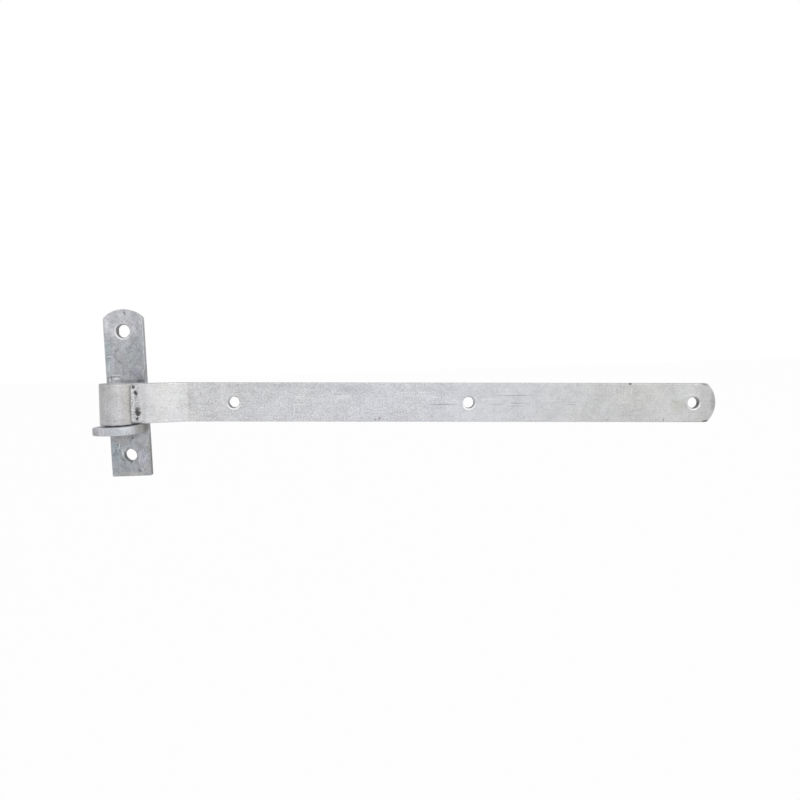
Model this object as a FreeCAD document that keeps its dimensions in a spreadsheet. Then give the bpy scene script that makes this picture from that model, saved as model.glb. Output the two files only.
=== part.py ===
import FreeCAD
import Part
import math
import os

import Sketcher
from FreeCAD import Vector

# A cranked hook and band hinge for a field gate, made of flat bar and a round pin.
# Frame: X to the right along the band, Y into the post, Z up. The origin is midway between
# the two bolt holes of the hook plate, on the plate's back face. Sizes are in millimetres.

SIZES = {
    # hook plate
    "plate_width": 40.0,
    "plate_thickness": 6.0,
    "plate_height": 170.0,
    "plate_hole_diameter": 13.0,
    "plate_hole_inset": 22.0,
    "plate_corner_radius": 1.5,
    # tongue that carries the pin
    "tongue_width": 40.0,
    "tongue_thickness": 8.0,
    "tongue_height": 47.0,
    "tongue_weld_leg": 4.0,
    "tongue_weld_inset": 1.5,
    "tongue_weld_crown": 1.0,
    "lower_weld_length": 16.0,
    # pin
    "pin_distance": 28.0,
    "pin_nose": 20.0,
    "pin_diameter": 16.0,
    "pin_recess": 2.0,
    "pin_chamfer": 2.0,
    "pin_weld_depth": 3.0,
    # band
    "band_width": 40.0,
    "band_thickness": 6.0,
    "band_length": 600.0,
    "band_hole_diameter": 11.0,
    "first_hole_distance": 108.0,
    "second_hole_distance": 347.0,
    "last_hole_inset": 23.0,
    "crank_lead": 3.0,
    "crank_run": 39.0,
    "crank_bend_radius": 4.0,
    "eye_weld_leg": 5.0,
    "eye_weld_rise": 2.0,
    "eye_weld_inset": 1.0,
    "eye_end_gap": 1.0,
    # all bars
    "nose_radius": 27.0,
    "edge_radius": 1.0,
    # running clearances
    "bore_slack": 2.0,
    "bore_end_clearance": 0.3,
    "seat_clearance": 0.4,
}

# Sizes that follow from the driving ones
PLATE_TOP = "(Sizes.plate_height / 2)"
PLATE_HOLE_HEIGHT = "(Sizes.plate_height / 2 - Sizes.plate_hole_inset)"
TONGUE_UNDERSIDE = "(Sizes.tongue_height - Sizes.plate_height / 2)"
TONGUE_TOP = f"({TONGUE_UNDERSIDE} + Sizes.tongue_thickness)"
TONGUE_WELD_LENGTH = "(Sizes.tongue_width - 2 * Sizes.tongue_weld_inset)"
TONGUE_WELD_FACE = "(Sizes.tongue_weld_leg + Sizes.tongue_weld_crown)"
PIN_RADIUS = "(Sizes.pin_diameter / 2)"
PIN_DEPTH = "(Sizes.plate_thickness + Sizes.pin_distance)"
EYE_BORE = "((Sizes.pin_diameter + Sizes.bore_slack) / 2)"
EYE_RADIUS = f"({EYE_BORE} + Sizes.band_thickness)"
EYE_WELD_TOE = f"({EYE_RADIUS} + Sizes.eye_weld_leg)"
CRANK_START = f"({EYE_WELD_TOE} + Sizes.crank_lead)"
CRANK_END = f"({CRANK_START} + Sizes.crank_run)"
FLAT_BACK = PIN_DEPTH
FLAT_FRONT = f"({FLAT_BACK} - Sizes.band_thickness)"
OUTER_BEND = "(Sizes.crank_bend_radius + Sizes.band_thickness)"
EYE_END_HEIGHT = f"({EYE_BORE} - Sizes.eye_end_gap)"
WASTE = "Sizes.band_thickness"
BLANK_END = f"(Sizes.band_length + {WASTE})"
BAND_NOSE_CENTRE = "(Sizes.band_length - Sizes.nose_radius)"
BAND_HOLES_X = {
    "first_hole": "Sizes.first_hole_distance",
    "second_hole": "Sizes.second_hole_distance",
    "last_hole": "(Sizes.band_length - Sizes.last_hole_inset)",
}

# The band droops until the ends of its bore nearly touch the pin, and its eye just clears the tongue.
DROOP = "atan((Sizes.bore_slack - 2 * Sizes.bore_end_clearance) / Sizes.band_width)"
TONGUE_REACH = f"sqrt((Sizes.tongue_width / 2) ^ 2 + {EYE_RADIUS} ^ 2)"
BAND_UNDERSIDE = f"({TONGUE_TOP} + Sizes.seat_clearance + {TONGUE_REACH} * tan({DROOP}))"
BAND_MIDDLE = f"({BAND_UNDERSIDE} + Sizes.band_width / 2)"
PIN_TOP = f"({BAND_UNDERSIDE} + Sizes.band_width - Sizes.pin_recess)"
PIN_HEIGHT = f"({PIN_TOP} - {TONGUE_UNDERSIDE})"
EYE_WELD_LENGTH = "(Sizes.band_width - 2 * Sizes.eye_weld_inset)"

# Names for the points of a sketch's edges and for the joints between edges
START, END, CENTRE = range(1, 4)
CORNER, SMOOTH = "Coincident", "Tangent"
ORIGIN_POINT = (-1, 1)
HORIZONTAL_AXIS = -1
VERTICAL_AXIS = -2

# Lengths closer than this are the same
NEAR = 0.01

doc = FreeCAD.newDocument("HookAndBand")
sheet = doc.addObject("Spreadsheet::Sheet", "Sizes")
for row, (alias, number) in enumerate(SIZES.items(), start=1):
    sheet.set(f"A{row}", alias)
    sheet.set(f"B{row}", str(number))
    sheet.setAlias(f"B{row}", alias)
doc.recompute()


def value(expression):
    """The number that an expression over the sheet gives now, angles in degrees."""
    result = doc.getObject("Sizes").evalExpression(expression)
    return float(getattr(result, "Value", result))


def new_body(name):
    body = doc.addObject("PartDesign::Body", name)
    body.Label = name
    return body


def new_sketch(body, name, plane):
    """A sketch on one of the body's own origin planes."""
    sketch = body.newObject("Sketcher::SketchObject", name)
    origin_plane = [f for f in body.Origin.OriginFeatures if f.Role == plane][0]
    sketch.AttachmentSupport = [(origin_plane, "")]
    sketch.MapMode = "FlatFace"
    return sketch


def bind(sketch, name, constraint, expression):
    """Add a dimension and tie it to the sheet."""
    index = sketch.addConstraint(constraint)
    sketch.renameConstraint(index, name)
    sketch.setExpression(f"Constraints.{name}", expression)


def bind_x(sketch, name, geometry, point, expression):
    dimension = Sketcher.Constraint("DistanceX", *ORIGIN_POINT, geometry, point, value(expression))
    bind(sketch, name, dimension, expression)


def bind_y(sketch, name, geometry, point, expression):
    dimension = Sketcher.Constraint("DistanceY", *ORIGIN_POINT, geometry, point, value(expression))
    bind(sketch, name, dimension, expression)


def bind_radius(sketch, name, geometry, expression):
    bind(sketch, name, Sketcher.Constraint("Radius", geometry, value(expression)), expression)


def add_line(sketch, start, end):
    return sketch.addGeometry(Part.LineSegment(Vector(*start, 0), Vector(*end, 0)))


def add_arc(sketch, centre, start, end):
    """An arc that runs anticlockwise from start to end."""
    radius = math.dist(centre, start)
    from_angle = math.atan2(start[1] - centre[1], start[0] - centre[0])
    to_angle = math.atan2(end[1] - centre[1], end[0] - centre[0])
    circle = Part.Circle(Vector(*centre, 0), Vector(0, 0, 1), radius)
    return sketch.addGeometry(Part.ArcOfCircle(circle, from_angle, to_angle))


def close_loop(sketch, loop):
    """Join edges end to end. Each is given with its entry, its exit and the joint to the next one."""
    for (edge, _, leave, joint), (after, entry, _, _) in zip(loop, loop[1:] + loop[:1]):
        sketch.addConstraint(Sketcher.Constraint(joint, edge, leave, after, entry))


def add_polygon(sketch, corners):
    lines = [add_line(sketch, a, b) for a, b in zip(corners, corners[1:] + corners[:1])]
    close_loop(sketch, [(line, START, END, CORNER) for line in lines])
    return lines


def add_hole(sketch, name, x, y, diameter):
    """A round hole, its centre and diameter tied to the sheet."""
    circle = Part.Circle(Vector(value(x), value(y), 0), Vector(0, 0, 1), value(diameter) / 2)
    hole = sketch.addGeometry(circle)
    bind(sketch, f"{name}_diameter", Sketcher.Constraint("Diameter", hole, value(diameter)), diameter)
    bind_x(sketch, f"{name}_x", hole, CENTRE, x)
    bind_y(sketch, f"{name}_y", hole, CENTRE, y)


def add_cropped_bar(sketch, width, heel, tip):
    """The outline of a flat bar along the sketch's vertical axis: square heel, round-cropped tip."""
    half = value(width) / 2
    low = value(heel)
    radius = value("Sizes.nose_radius")
    centre = (0, value(tip) - radius)
    shoulder = centre[1] + math.sqrt(radius**2 - half**2)
    base = add_line(sketch, (-half, low), (half, low))
    right = add_line(sketch, (half, low), (half, shoulder))
    nose = add_arc(sketch, centre, (half, shoulder), (-half, shoulder))
    left = add_line(sketch, (-half, shoulder), (-half, low))
    close_loop(sketch, [(edge, START, END, CORNER) for edge in (base, right, nose, left)])
    sketch.addConstraint(Sketcher.Constraint("Horizontal", base))
    sketch.addConstraint(Sketcher.Constraint("Vertical", right))
    sketch.addConstraint(Sketcher.Constraint("Vertical", left))
    sketch.addConstraint(Sketcher.Constraint("PointOnObject", nose, CENTRE, VERTICAL_AXIS))
    bind_x(sketch, "right_side", base, END, f"{width} / 2")
    bind_x(sketch, "left_side", base, START, f"-{width} / 2")
    bind_y(sketch, "heel", base, START, heel)
    bind_radius(sketch, "nose", nose, "Sizes.nose_radius")
    bind_y(sketch, "nose_centre", nose, CENTRE, f"{tip} - Sizes.nose_radius")


def add_pad(body, sketch, length, midplane=False):
    pad = body.newObject("PartDesign::Pad", f"{sketch.Name}_pad")
    pad.Profile = sketch
    pad.Length = value(length)
    pad.setExpression("Length", length)
    pad.Midplane = midplane
    doc.recompute()


def add_turned_solid(body, section):
    """Turn a section about the sketch's vertical axis."""
    revolution = body.newObject("PartDesign::Revolution", f"{section.Name}_turned")
    revolution.Profile = section
    revolution.ReferenceAxis = (section, ["V_Axis"])
    revolution.Angle = 360
    doc.recompute()


def add_through_cut(body, sketch):
    """Cut a sketch's regions right through the body, both ways from the sketch."""
    pocket = body.newObject("PartDesign::Pocket", f"{sketch.Name}_cut")
    pocket.Profile = sketch
    pocket.Type = "ThroughAll"
    pocket.Midplane = True
    before = body.Shape.Volume
    doc.recompute()
    if body.Shape.Volume >= before:
        raise RuntimeError(f"{pocket.Name} removes nothing")


def edges_where(shape, test):
    return [f"Edge{number}" for number, edge in enumerate(shape.Edges, start=1) if test(edge)]


def runs_along(edge, axis):
    """Whether an edge is straight and runs along x, y or z."""
    if not isinstance(edge.Curve, Part.Line):
        return False
    step = edge.Vertexes[1].Point - edge.Vertexes[0].Point
    return abs(getattr(step, axis)) > step.Length - NEAR


def dress_edges(body, kind, name, edges, size_name, size):
    """Add a Fillet with a Radius, or a Chamfer with a Size, to the body's latest solid."""
    base = body.Tip
    feature = body.newObject(f"PartDesign::{kind}", name)
    feature.Base = (base, edges)
    setattr(feature, size_name, value(size))
    feature.setExpression(size_name, size)
    doc.recompute()


def round_edges(body, name, edges, radius):
    dress_edges(body, "Fillet", name, edges, "Radius", radius)


def place(body, x="0", y="0", z="0"):
    """Tie the body's place in the hinge's frame to the sheet."""
    for axis, expression in (("x", x), ("y", y), ("z", z)):
        body.setExpression(f".Placement.Base.{axis}", expression)


def turn(body, axis, angle):
    """Turn the body about its own origin, the angle tied to the sheet."""
    body.Placement.Rotation = FreeCAD.Rotation(axis, value(angle))
    body.setExpression(".Placement.Rotation.Angle", angle)


def make_hook_plate():
    body = new_body("hook_plate")
    outline = new_sketch(body, "plate_outline", "XZ_Plane")
    add_cropped_bar(outline, "Sizes.plate_width", "-Sizes.plate_height / 2", PLATE_TOP)
    add_hole(outline, "upper_hole", "0", PLATE_HOLE_HEIGHT, "Sizes.plate_hole_diameter")
    add_hole(outline, "lower_hole", "0", f"-{PLATE_HOLE_HEIGHT}", "Sizes.plate_hole_diameter")
    add_pad(body, outline, "Sizes.plate_thickness")
    bottom = -value(PLATE_TOP)

    def is_bottom_corner(edge):
        return runs_along(edge, "y") and edge.CenterOfMass.z < bottom + NEAR

    corners = edges_where(body.Shape, is_bottom_corner)
    round_edges(body, "plate_corners", corners, "Sizes.plate_corner_radius")
    sides = edges_where(body.Shape, lambda edge: runs_along(edge, "z"))
    round_edges(body, "plate_edges", sides, "Sizes.edge_radius")
    return body


def make_pin_tongue():
    """Drawn with its nose along local Y, then turned to point out of the plate."""
    body = new_body("pin_tongue")
    outline = new_sketch(body, "tongue_outline", "XY_Plane")
    add_cropped_bar(outline, "Sizes.tongue_width", "-Sizes.pin_distance", "Sizes.pin_nose")
    add_hole(outline, "pin_hole", "0", "0", "Sizes.pin_diameter")
    add_pad(body, outline, "Sizes.tongue_thickness")
    sides = edges_where(body.Shape, lambda edge: runs_along(edge, "y"))
    round_edges(body, "tongue_edges", sides, "Sizes.edge_radius")
    lower_rim = edges_where(body.Shape, lambda edge: edge.Closed and edge.CenterOfMass.z < NEAR)
    dress_edges(body, "Chamfer", "countersink", lower_rim, "Size", "Sizes.pin_weld_depth")
    turn(body, Vector(0, 0, 1), "180")
    place(body, y=f"-{PIN_DEPTH}", z=TONGUE_UNDERSIDE)
    return body


def make_hinge_pin():
    """Half of the pin's section, turned about its axis: foot above the plug weld, chamfered top."""
    body = new_body("hinge_pin")
    section = new_sketch(body, "pin_section", "XZ_Plane")
    radius = value(PIN_RADIUS)
    foot = value("Sizes.pin_weld_depth")
    height = value(PIN_HEIGHT)
    chamfer = value("Sizes.pin_chamfer")
    corners = [
        (0, foot),
        (radius, foot),
        (radius, height - chamfer),
        (radius - chamfer, height),
        (0, height),
    ]
    base, side, slope, top, axis = add_polygon(section, corners)
    section.addConstraint(Sketcher.Constraint("Horizontal", base))
    section.addConstraint(Sketcher.Constraint("Vertical", side))
    section.addConstraint(Sketcher.Constraint("Horizontal", top))
    section.addConstraint(Sketcher.Constraint("PointOnObject", axis, START, VERTICAL_AXIS))
    section.addConstraint(Sketcher.Constraint("PointOnObject", axis, END, VERTICAL_AXIS))
    bind_y(section, "foot", base, START, "Sizes.pin_weld_depth")
    bind_y(section, "height", top, END, PIN_HEIGHT)
    bind_x(section, "radius", side, START, PIN_RADIUS)
    bind_x(section, "chamfer_width", slope, END, f"{PIN_RADIUS} - Sizes.pin_chamfer")
    bind_y(section, "chamfer_height", slope, START, f"{PIN_HEIGHT} - Sizes.pin_chamfer")
    add_turned_solid(body, section)
    place(body, y=f"-{PIN_DEPTH}", z=TONGUE_UNDERSIDE)
    return body


def make_pin_weld():
    """The plug of weld that fills the countersink below the pin's foot."""
    body = new_body("pin_weld")
    section = new_sketch(body, "plug_section", "XZ_Plane")
    radius = value(PIN_RADIUS)
    depth = value("Sizes.pin_weld_depth")
    corners = [(0, 0), (radius + depth, 0), (radius, depth), (0, depth)]
    base, slope, top, axis = add_polygon(section, corners)
    section.addConstraint(Sketcher.Constraint("Coincident", base, START, *ORIGIN_POINT))
    section.addConstraint(Sketcher.Constraint("Horizontal", base))
    section.addConstraint(Sketcher.Constraint("Horizontal", top))
    section.addConstraint(Sketcher.Constraint("Vertical", axis))
    bind_x(section, "mouth", base, END, f"{PIN_RADIUS} + Sizes.pin_weld_depth")
    bind_x(section, "root", slope, END, PIN_RADIUS)
    bind_y(section, "depth", slope, END, "Sizes.pin_weld_depth")
    add_turned_solid(body, section)
    place(body, y=f"-{PIN_DEPTH}", z=TONGUE_UNDERSIDE)
    return body


def make_tongue_weld(name, length, height, turned):
    """A fillet weld in the corner between the plate and the tongue, its face slightly crowned."""
    body = new_body(name)
    section = new_sketch(body, f"{name}_section", "YZ_Plane")
    leg = value("Sizes.tongue_weld_leg")
    inward = math.sqrt(value(TONGUE_WELD_FACE) ** 2 / 2 - leg**2 / 4)
    centre = (inward - leg / 2, leg / 2 - inward)
    upright = add_line(section, (0, leg), (0, 0))
    base = add_line(section, (0, 0), (-leg, 0))
    face = add_arc(section, centre, (0, leg), (-leg, 0))
    close_loop(section, [
        (upright, START, END, CORNER),
        (base, START, END, CORNER),
        (face, END, START, CORNER),
    ])
    section.addConstraint(Sketcher.Constraint("Coincident", upright, END, *ORIGIN_POINT))
    section.addConstraint(Sketcher.Constraint("Vertical", upright))
    section.addConstraint(Sketcher.Constraint("Horizontal", base))
    bind_y(section, "upright_leg", upright, START, "Sizes.tongue_weld_leg")
    bind_x(section, "base_leg", base, END, "-Sizes.tongue_weld_leg")
    bind_radius(section, "face", face, TONGUE_WELD_FACE)
    add_pad(body, section, length, midplane=True)
    turn(body, Vector(0, 1, 0), turned)
    place(body, y="-Sizes.plate_thickness", z=height)
    return body


def add_band_outline(sketch):
    """The band from above: rolled eye, straight lead, crank and flat, in a bar of even thickness."""
    bore = value(EYE_BORE)
    radius = value(EYE_RADIUS)
    front = value(FLAT_FRONT)
    back = value(FLAT_BACK)
    far = value(BLANK_END)
    inner = value("Sizes.crank_bend_radius")
    outer = value(OUTER_BEND)
    end_height = value(EYE_END_HEIGHT)
    end_angle = math.asin(end_height / radius)
    end_outer = (radius * math.cos(end_angle), end_height)
    end_inner = (bore * math.cos(end_angle), bore * math.sin(end_angle))
    first = Vector(value(CRANK_START), radius + inner, 0)
    second = Vector(value(CRANK_END), front - inner, 0)
    span = second - first
    slope = math.atan2(span.y, span.x) + math.asin((inner + outer) / span.Length)
    across = Vector(-math.sin(slope), math.cos(slope), 0)

    def beside(centre, offset):
        point = centre + across * offset
        return (point.x, point.y)

    bore_arc = add_arc(sketch, (0, 0), (0, bore), end_inner)
    lead_front = add_line(sketch, (0, bore), (first.x, bore))
    bend_1_front = add_arc(sketch, (first.x, first.y), (first.x, bore), beside(first, -outer))
    slope_front = add_line(sketch, beside(first, -outer), beside(second, inner))
    bend_2_front = add_arc(sketch, (second.x, second.y), (second.x, front), beside(second, inner))
    flat_front = add_line(sketch, (second.x, front), (far, front))
    blank_end = add_line(sketch, (far, front), (far, back))
    flat_back = add_line(sketch, (far, back), (second.x, back))
    bend_2_back = add_arc(sketch, (second.x, second.y), (second.x, back), beside(second, outer))
    slope_back = add_line(sketch, beside(second, outer), beside(first, -inner))
    bend_1_back = add_arc(sketch, (first.x, first.y), (first.x, radius), beside(first, -inner))
    lead_back = add_line(sketch, (first.x, radius), (0, radius))
    eye_arc = add_arc(sketch, (0, 0), (0, radius), end_outer)
    eye_end = add_line(sketch, end_outer, end_inner)
    close_loop(sketch, [
        (bore_arc, END, START, SMOOTH),
        (lead_front, START, END, SMOOTH),
        (bend_1_front, START, END, SMOOTH),
        (slope_front, START, END, SMOOTH),
        (bend_2_front, END, START, SMOOTH),
        (flat_front, START, END, CORNER),
        (blank_end, START, END, CORNER),
        (flat_back, START, END, SMOOTH),
        (bend_2_back, START, END, SMOOTH),
        (slope_back, START, END, SMOOTH),
        (bend_1_back, END, START, SMOOTH),
        (lead_back, START, END, SMOOTH),
        (eye_arc, START, END, CORNER),
        (eye_end, START, END, CORNER),
    ])
    for line in (lead_front, flat_front, flat_back, lead_back):
        sketch.addConstraint(Sketcher.Constraint("Horizontal", line))
    sketch.addConstraint(Sketcher.Constraint("Vertical", blank_end))
    for arc in (bore_arc, eye_arc):
        sketch.addConstraint(Sketcher.Constraint("Coincident", arc, CENTRE, *ORIGIN_POINT))
    sketch.addConstraint(Sketcher.Constraint("Coincident", bend_1_front, CENTRE, bend_1_back, CENTRE))
    sketch.addConstraint(Sketcher.Constraint("Coincident", bend_2_front, CENTRE, bend_2_back, CENTRE))
    sketch.addConstraint(Sketcher.Constraint("PointOnObject", *ORIGIN_POINT, eye_end))
    bind_radius(sketch, "bore", bore_arc, EYE_BORE)
    bind_radius(sketch, "eye", eye_arc, EYE_RADIUS)
    bind_y(sketch, "eye_end", eye_arc, END, EYE_END_HEIGHT)
    bind_radius(sketch, "first_bend", bend_1_front, OUTER_BEND)
    bind_x(sketch, "crank_start", bend_1_front, CENTRE, CRANK_START)
    bind_radius(sketch, "second_bend", bend_2_front, "Sizes.crank_bend_radius")
    bind_x(sketch, "crank_end", bend_2_front, CENTRE, CRANK_END)
    bind_y(sketch, "flat_front", flat_front, END, FLAT_FRONT)
    bind_y(sketch, "flat_back", flat_back, START, FLAT_BACK)
    bind_x(sketch, "blank_end", blank_end, START, BLANK_END)


def add_nose_crop(sketch):
    """The waste outside the round nose, seen from the front."""
    radius = value("Sizes.nose_radius")
    width = value("Sizes.band_width")
    centre = (value(BAND_NOSE_CENTRE), width / 2)
    shoulder = centre[0] + math.sqrt(radius**2 - width**2 / 4)
    waste = value(WASTE)
    far = value(f"{BLANK_END} + {WASTE}")
    nose = add_arc(sketch, centre, (shoulder, 0), (shoulder, width))
    corners = [
        (shoulder, width),
        (shoulder, width + waste),
        (far, width + waste),
        (far, -waste),
        (shoulder, -waste),
        (shoulder, 0),
    ]
    above, top, side, bottom, below = [add_line(sketch, a, b) for a, b in zip(corners, corners[1:])]
    close_loop(sketch, [(edge, START, END, CORNER) for edge in (nose, above, top, side, bottom, below)])
    for line in (top, bottom):
        sketch.addConstraint(Sketcher.Constraint("Horizontal", line))
    for line in (above, side, below):
        sketch.addConstraint(Sketcher.Constraint("Vertical", line))
    sketch.addConstraint(Sketcher.Constraint("PointOnObject", nose, START, HORIZONTAL_AXIS))
    bind_radius(sketch, "nose", nose, "Sizes.nose_radius")
    bind_x(sketch, "nose_centre_x", nose, CENTRE, BAND_NOSE_CENTRE)
    bind_y(sketch, "nose_centre_y", nose, CENTRE, "Sizes.band_width / 2")
    bind_y(sketch, "upper_shoulder", nose, END, "Sizes.band_width")
    bind_y(sketch, "top", top, START, f"Sizes.band_width + {WASTE}")
    bind_y(sketch, "bottom", bottom, START, f"-{WASTE}")
    bind_x(sketch, "far", side, START, f"{BLANK_END} + {WASTE}")


def make_band_strap():
    """Local origin on the pin's axis, level with the band's lower edge."""
    body = new_body("band_strap")
    outline = new_sketch(body, "band_outline", "XY_Plane")
    add_band_outline(outline)
    add_pad(body, outline, "Sizes.band_width")
    thickness = value("Sizes.band_thickness")

    def is_long_edge(edge):
        across_end = isinstance(edge.Curve, Part.Line) and abs(edge.Length - thickness) < NEAR
        return edge.BoundBox.ZLength < NEAR and not across_end

    round_edges(body, "band_edges", edges_where(body.Shape, is_long_edge), "Sizes.edge_radius")
    crop = new_sketch(body, "nose_crop", "XZ_Plane")
    add_nose_crop(crop)
    add_through_cut(body, crop)
    holes = new_sketch(body, "band_holes", "XZ_Plane")
    for name, distance in BAND_HOLES_X.items():
        add_hole(holes, name, distance, "Sizes.band_width / 2", "Sizes.band_hole_diameter")
    add_through_cut(body, holes)
    return body


def make_eye_weld():
    """The bead that fills the valley between the eye and the strap's front."""
    body = new_body("eye_weld")
    section = new_sketch(body, "eye_weld_section", "XY_Plane")
    radius = value(EYE_RADIUS)
    bore = value(EYE_BORE)
    end_height = value(EYE_END_HEIGHT)
    rise = value("Sizes.eye_weld_rise")
    root = math.sqrt(radius**2 - end_height**2)
    strap_toe = Vector(value(EYE_WELD_TOE), bore, 0)
    eye_toe = Vector(math.sqrt(radius**2 - rise**2), -rise, 0)
    chord = strap_toe - eye_toe
    inward = Vector(-chord.y, chord.x, 0).normalize()
    crown = (strap_toe + eye_toe) / 2 + inward * math.sqrt(radius**2 - (chord.Length / 2) ** 2)
    against_eye = add_arc(section, (0, 0), (eye_toe.x, eye_toe.y), (root, end_height))
    end_gap = add_line(section, (root, end_height), (root, bore))
    against_strap = add_line(section, (root, bore), (strap_toe.x, bore))
    face = add_arc(section, (crown.x, crown.y), (eye_toe.x, eye_toe.y), (strap_toe.x, bore))
    close_loop(section, [
        (against_eye, START, END, CORNER),
        (end_gap, START, END, CORNER),
        (against_strap, START, END, CORNER),
        (face, END, START, CORNER),
    ])
    section.addConstraint(Sketcher.Constraint("Coincident", against_eye, CENTRE, *ORIGIN_POINT))
    section.addConstraint(Sketcher.Constraint("Vertical", end_gap))
    section.addConstraint(Sketcher.Constraint("Horizontal", against_strap))
    bind_radius(section, "eye", against_eye, EYE_RADIUS)
    bind_radius(section, "face", face, EYE_RADIUS)
    bind_y(section, "eye_toe", against_eye, START, "-Sizes.eye_weld_rise")
    bind_y(section, "eye_end", against_eye, END, EYE_END_HEIGHT)
    bind_y(section, "strap_front", against_strap, START, EYE_BORE)
    bind_x(section, "strap_toe", against_strap, END, EYE_WELD_TOE)
    add_pad(body, section, EYE_WELD_LENGTH)
    return body


def hang_on_pin(body, lift="0"):
    """Set a piece of the band on the pin, drooping about the pin at half the band's width."""
    turn(body, Vector(0, 1, 0), DROOP)
    offset = f"({lift} - Sizes.band_width / 2)"
    place(
        body,
        x=f"{offset} * sin({DROOP})",
        y=f"-{PIN_DEPTH}",
        z=f"{BAND_MIDDLE} + {offset} * cos({DROOP})",
    )


def failed_objects():
    """Objects that the last recompute left in error, and sketches that are not fully held."""
    failures = [o.Name for o in doc.Objects if "Invalid" in o.State or "Error" in o.State]
    sketches = [o for o in doc.Objects if o.TypeId == "Sketcher::SketchObject"]
    return failures + [s.Name for s in sketches if not s.FullyConstrained]


hook = [
    make_hook_plate(),
    make_pin_tongue(),
    make_hinge_pin(),
    make_pin_weld(),
    make_tongue_weld("tongue_weld_top", TONGUE_WELD_LENGTH, TONGUE_TOP, "0"),
    make_tongue_weld("tongue_weld_bottom", "Sizes.lower_weld_length", TONGUE_UNDERSIDE, "180"),
]
strap = make_band_strap()
bead = make_eye_weld()
hang_on_pin(strap)
hang_on_pin(bead, "Sizes.eye_weld_inset")
doc.recompute()

failures = failed_objects()
if failures:
    raise RuntimeError(f"failed: {failures}")
subparts = hook + [strap, bead]
for subpart in subparts:
    if subpart.Shape.isNull() or not subpart.Shape.isValid() or len(subpart.Shape.Solids) != 1:
        raise RuntimeError(f"{subpart.Label} is not one valid solid")

os.makedirs("parts", exist_ok=True)
for subpart in subparts:
    subpart.Shape.exportStep(f"parts/{subpart.Label}.step")
    print(subpart.Label, round(subpart.Shape.Volume), "mm3")
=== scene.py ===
import math

import bmesh
import bpy
from mathutils import Matrix, Vector, noise
from mathutils.geometry import delaunay_2d_cdt


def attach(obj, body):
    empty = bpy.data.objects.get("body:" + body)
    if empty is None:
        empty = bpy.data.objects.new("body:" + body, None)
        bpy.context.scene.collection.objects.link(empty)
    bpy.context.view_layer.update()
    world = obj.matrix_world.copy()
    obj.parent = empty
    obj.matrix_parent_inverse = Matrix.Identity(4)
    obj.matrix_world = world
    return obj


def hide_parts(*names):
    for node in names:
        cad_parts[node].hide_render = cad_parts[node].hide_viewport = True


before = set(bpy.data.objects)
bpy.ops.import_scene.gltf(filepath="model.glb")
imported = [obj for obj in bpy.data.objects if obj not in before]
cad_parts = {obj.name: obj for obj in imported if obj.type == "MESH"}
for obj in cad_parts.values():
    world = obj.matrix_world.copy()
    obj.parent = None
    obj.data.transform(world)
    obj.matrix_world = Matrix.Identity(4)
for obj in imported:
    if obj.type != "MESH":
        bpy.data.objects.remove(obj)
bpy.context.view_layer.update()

# Shapes are worked out in millimetres, in the row frame: X along the band, Y into the post, Z up.
MM = 0.001

# hook
PLATE_HALF_WIDTH = 20.0
PLATE_THICKNESS = 6.0
PLATE_HALF_HEIGHT = 85.0
PLATE_HOLE_HEIGHT = 63.0
PLATE_HOLE_RADIUS = 6.5
TONGUE_UNDERSIDE = -38.0
TONGUE_THICKNESS = 8.0
TONGUE_REACH = 48.0
TONGUE_WELD_LEG = 4.0
UPPER_WELD_LENGTH = 37.0
LOWER_WELD_LENGTH = 16.0
PIN_Y = -34.0
PIN_RADIUS = 8.0
PIN_TOP = 9.28
PIN_CHAMFER = 2.0
PIN_WELD_DEPTH = 3.0

# band, measured from the pin's axis
BAND_HALF_WIDTH = 20.0
BAND_THICKNESS = 6.0
BAND_LENGTH = 600.0
BAND_HOLES = (108.0, 347.0, 577.0)
BAND_HOLE_RADIUS = 5.5
EYE_BORE = 9.0
EYE_END_HEIGHT = 8.0
EYE_RADIUS = EYE_BORE + BAND_THICKNESS
WELD_TOE = 20.0
CRANK_LEAD = 3.0
CRANK_START = WELD_TOE + CRANK_LEAD
CRANK_END = 62.0
CRANK_BEND = 4.0
FLAT_BACK = -PIN_Y
END_PLAY = 0.3
SEAT_GAP = 0.4
# The loose eye leans until it nearly touches the pin at both ends, and its low rim then clears the tongue.
DROOP = math.atan((EYE_BORE - PIN_RADIUS - END_PLAY) / BAND_HALF_WIDTH)
RIM_DROP = math.hypot(BAND_HALF_WIDTH, EYE_RADIUS) * math.tan(DROOP)
BAND_MIDDLE = TONGUE_UNDERSIDE + TONGUE_THICKNESS + SEAT_GAP + RIM_DROP + BAND_HALF_WIDTH

# hook and band
NOSE_RADIUS = 27.0
BAR_ROUNDING = 1.0
CORNER_REACH = 1.6
MARK_DEPTH = 5.0

# how finely the bars and beads are divided
HOLE_POINTS = 64
SHEET_COLUMNS = 4.0
RING_INSET = 1.1
CLEAR_OF_EDGE = 2.2
CLEAR_OF_HOLE = 4.6
BEAD_STEP = 0.35
BEAD_FACETS = 30
ROUND_POINTS = 96


# shapes

def new_object(name, data):
    """An object in the scene for a mesh, a lamp or a camera."""
    made = bpy.data.objects.new(name, data)
    bpy.context.scene.collection.objects.link(made)
    return made


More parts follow.
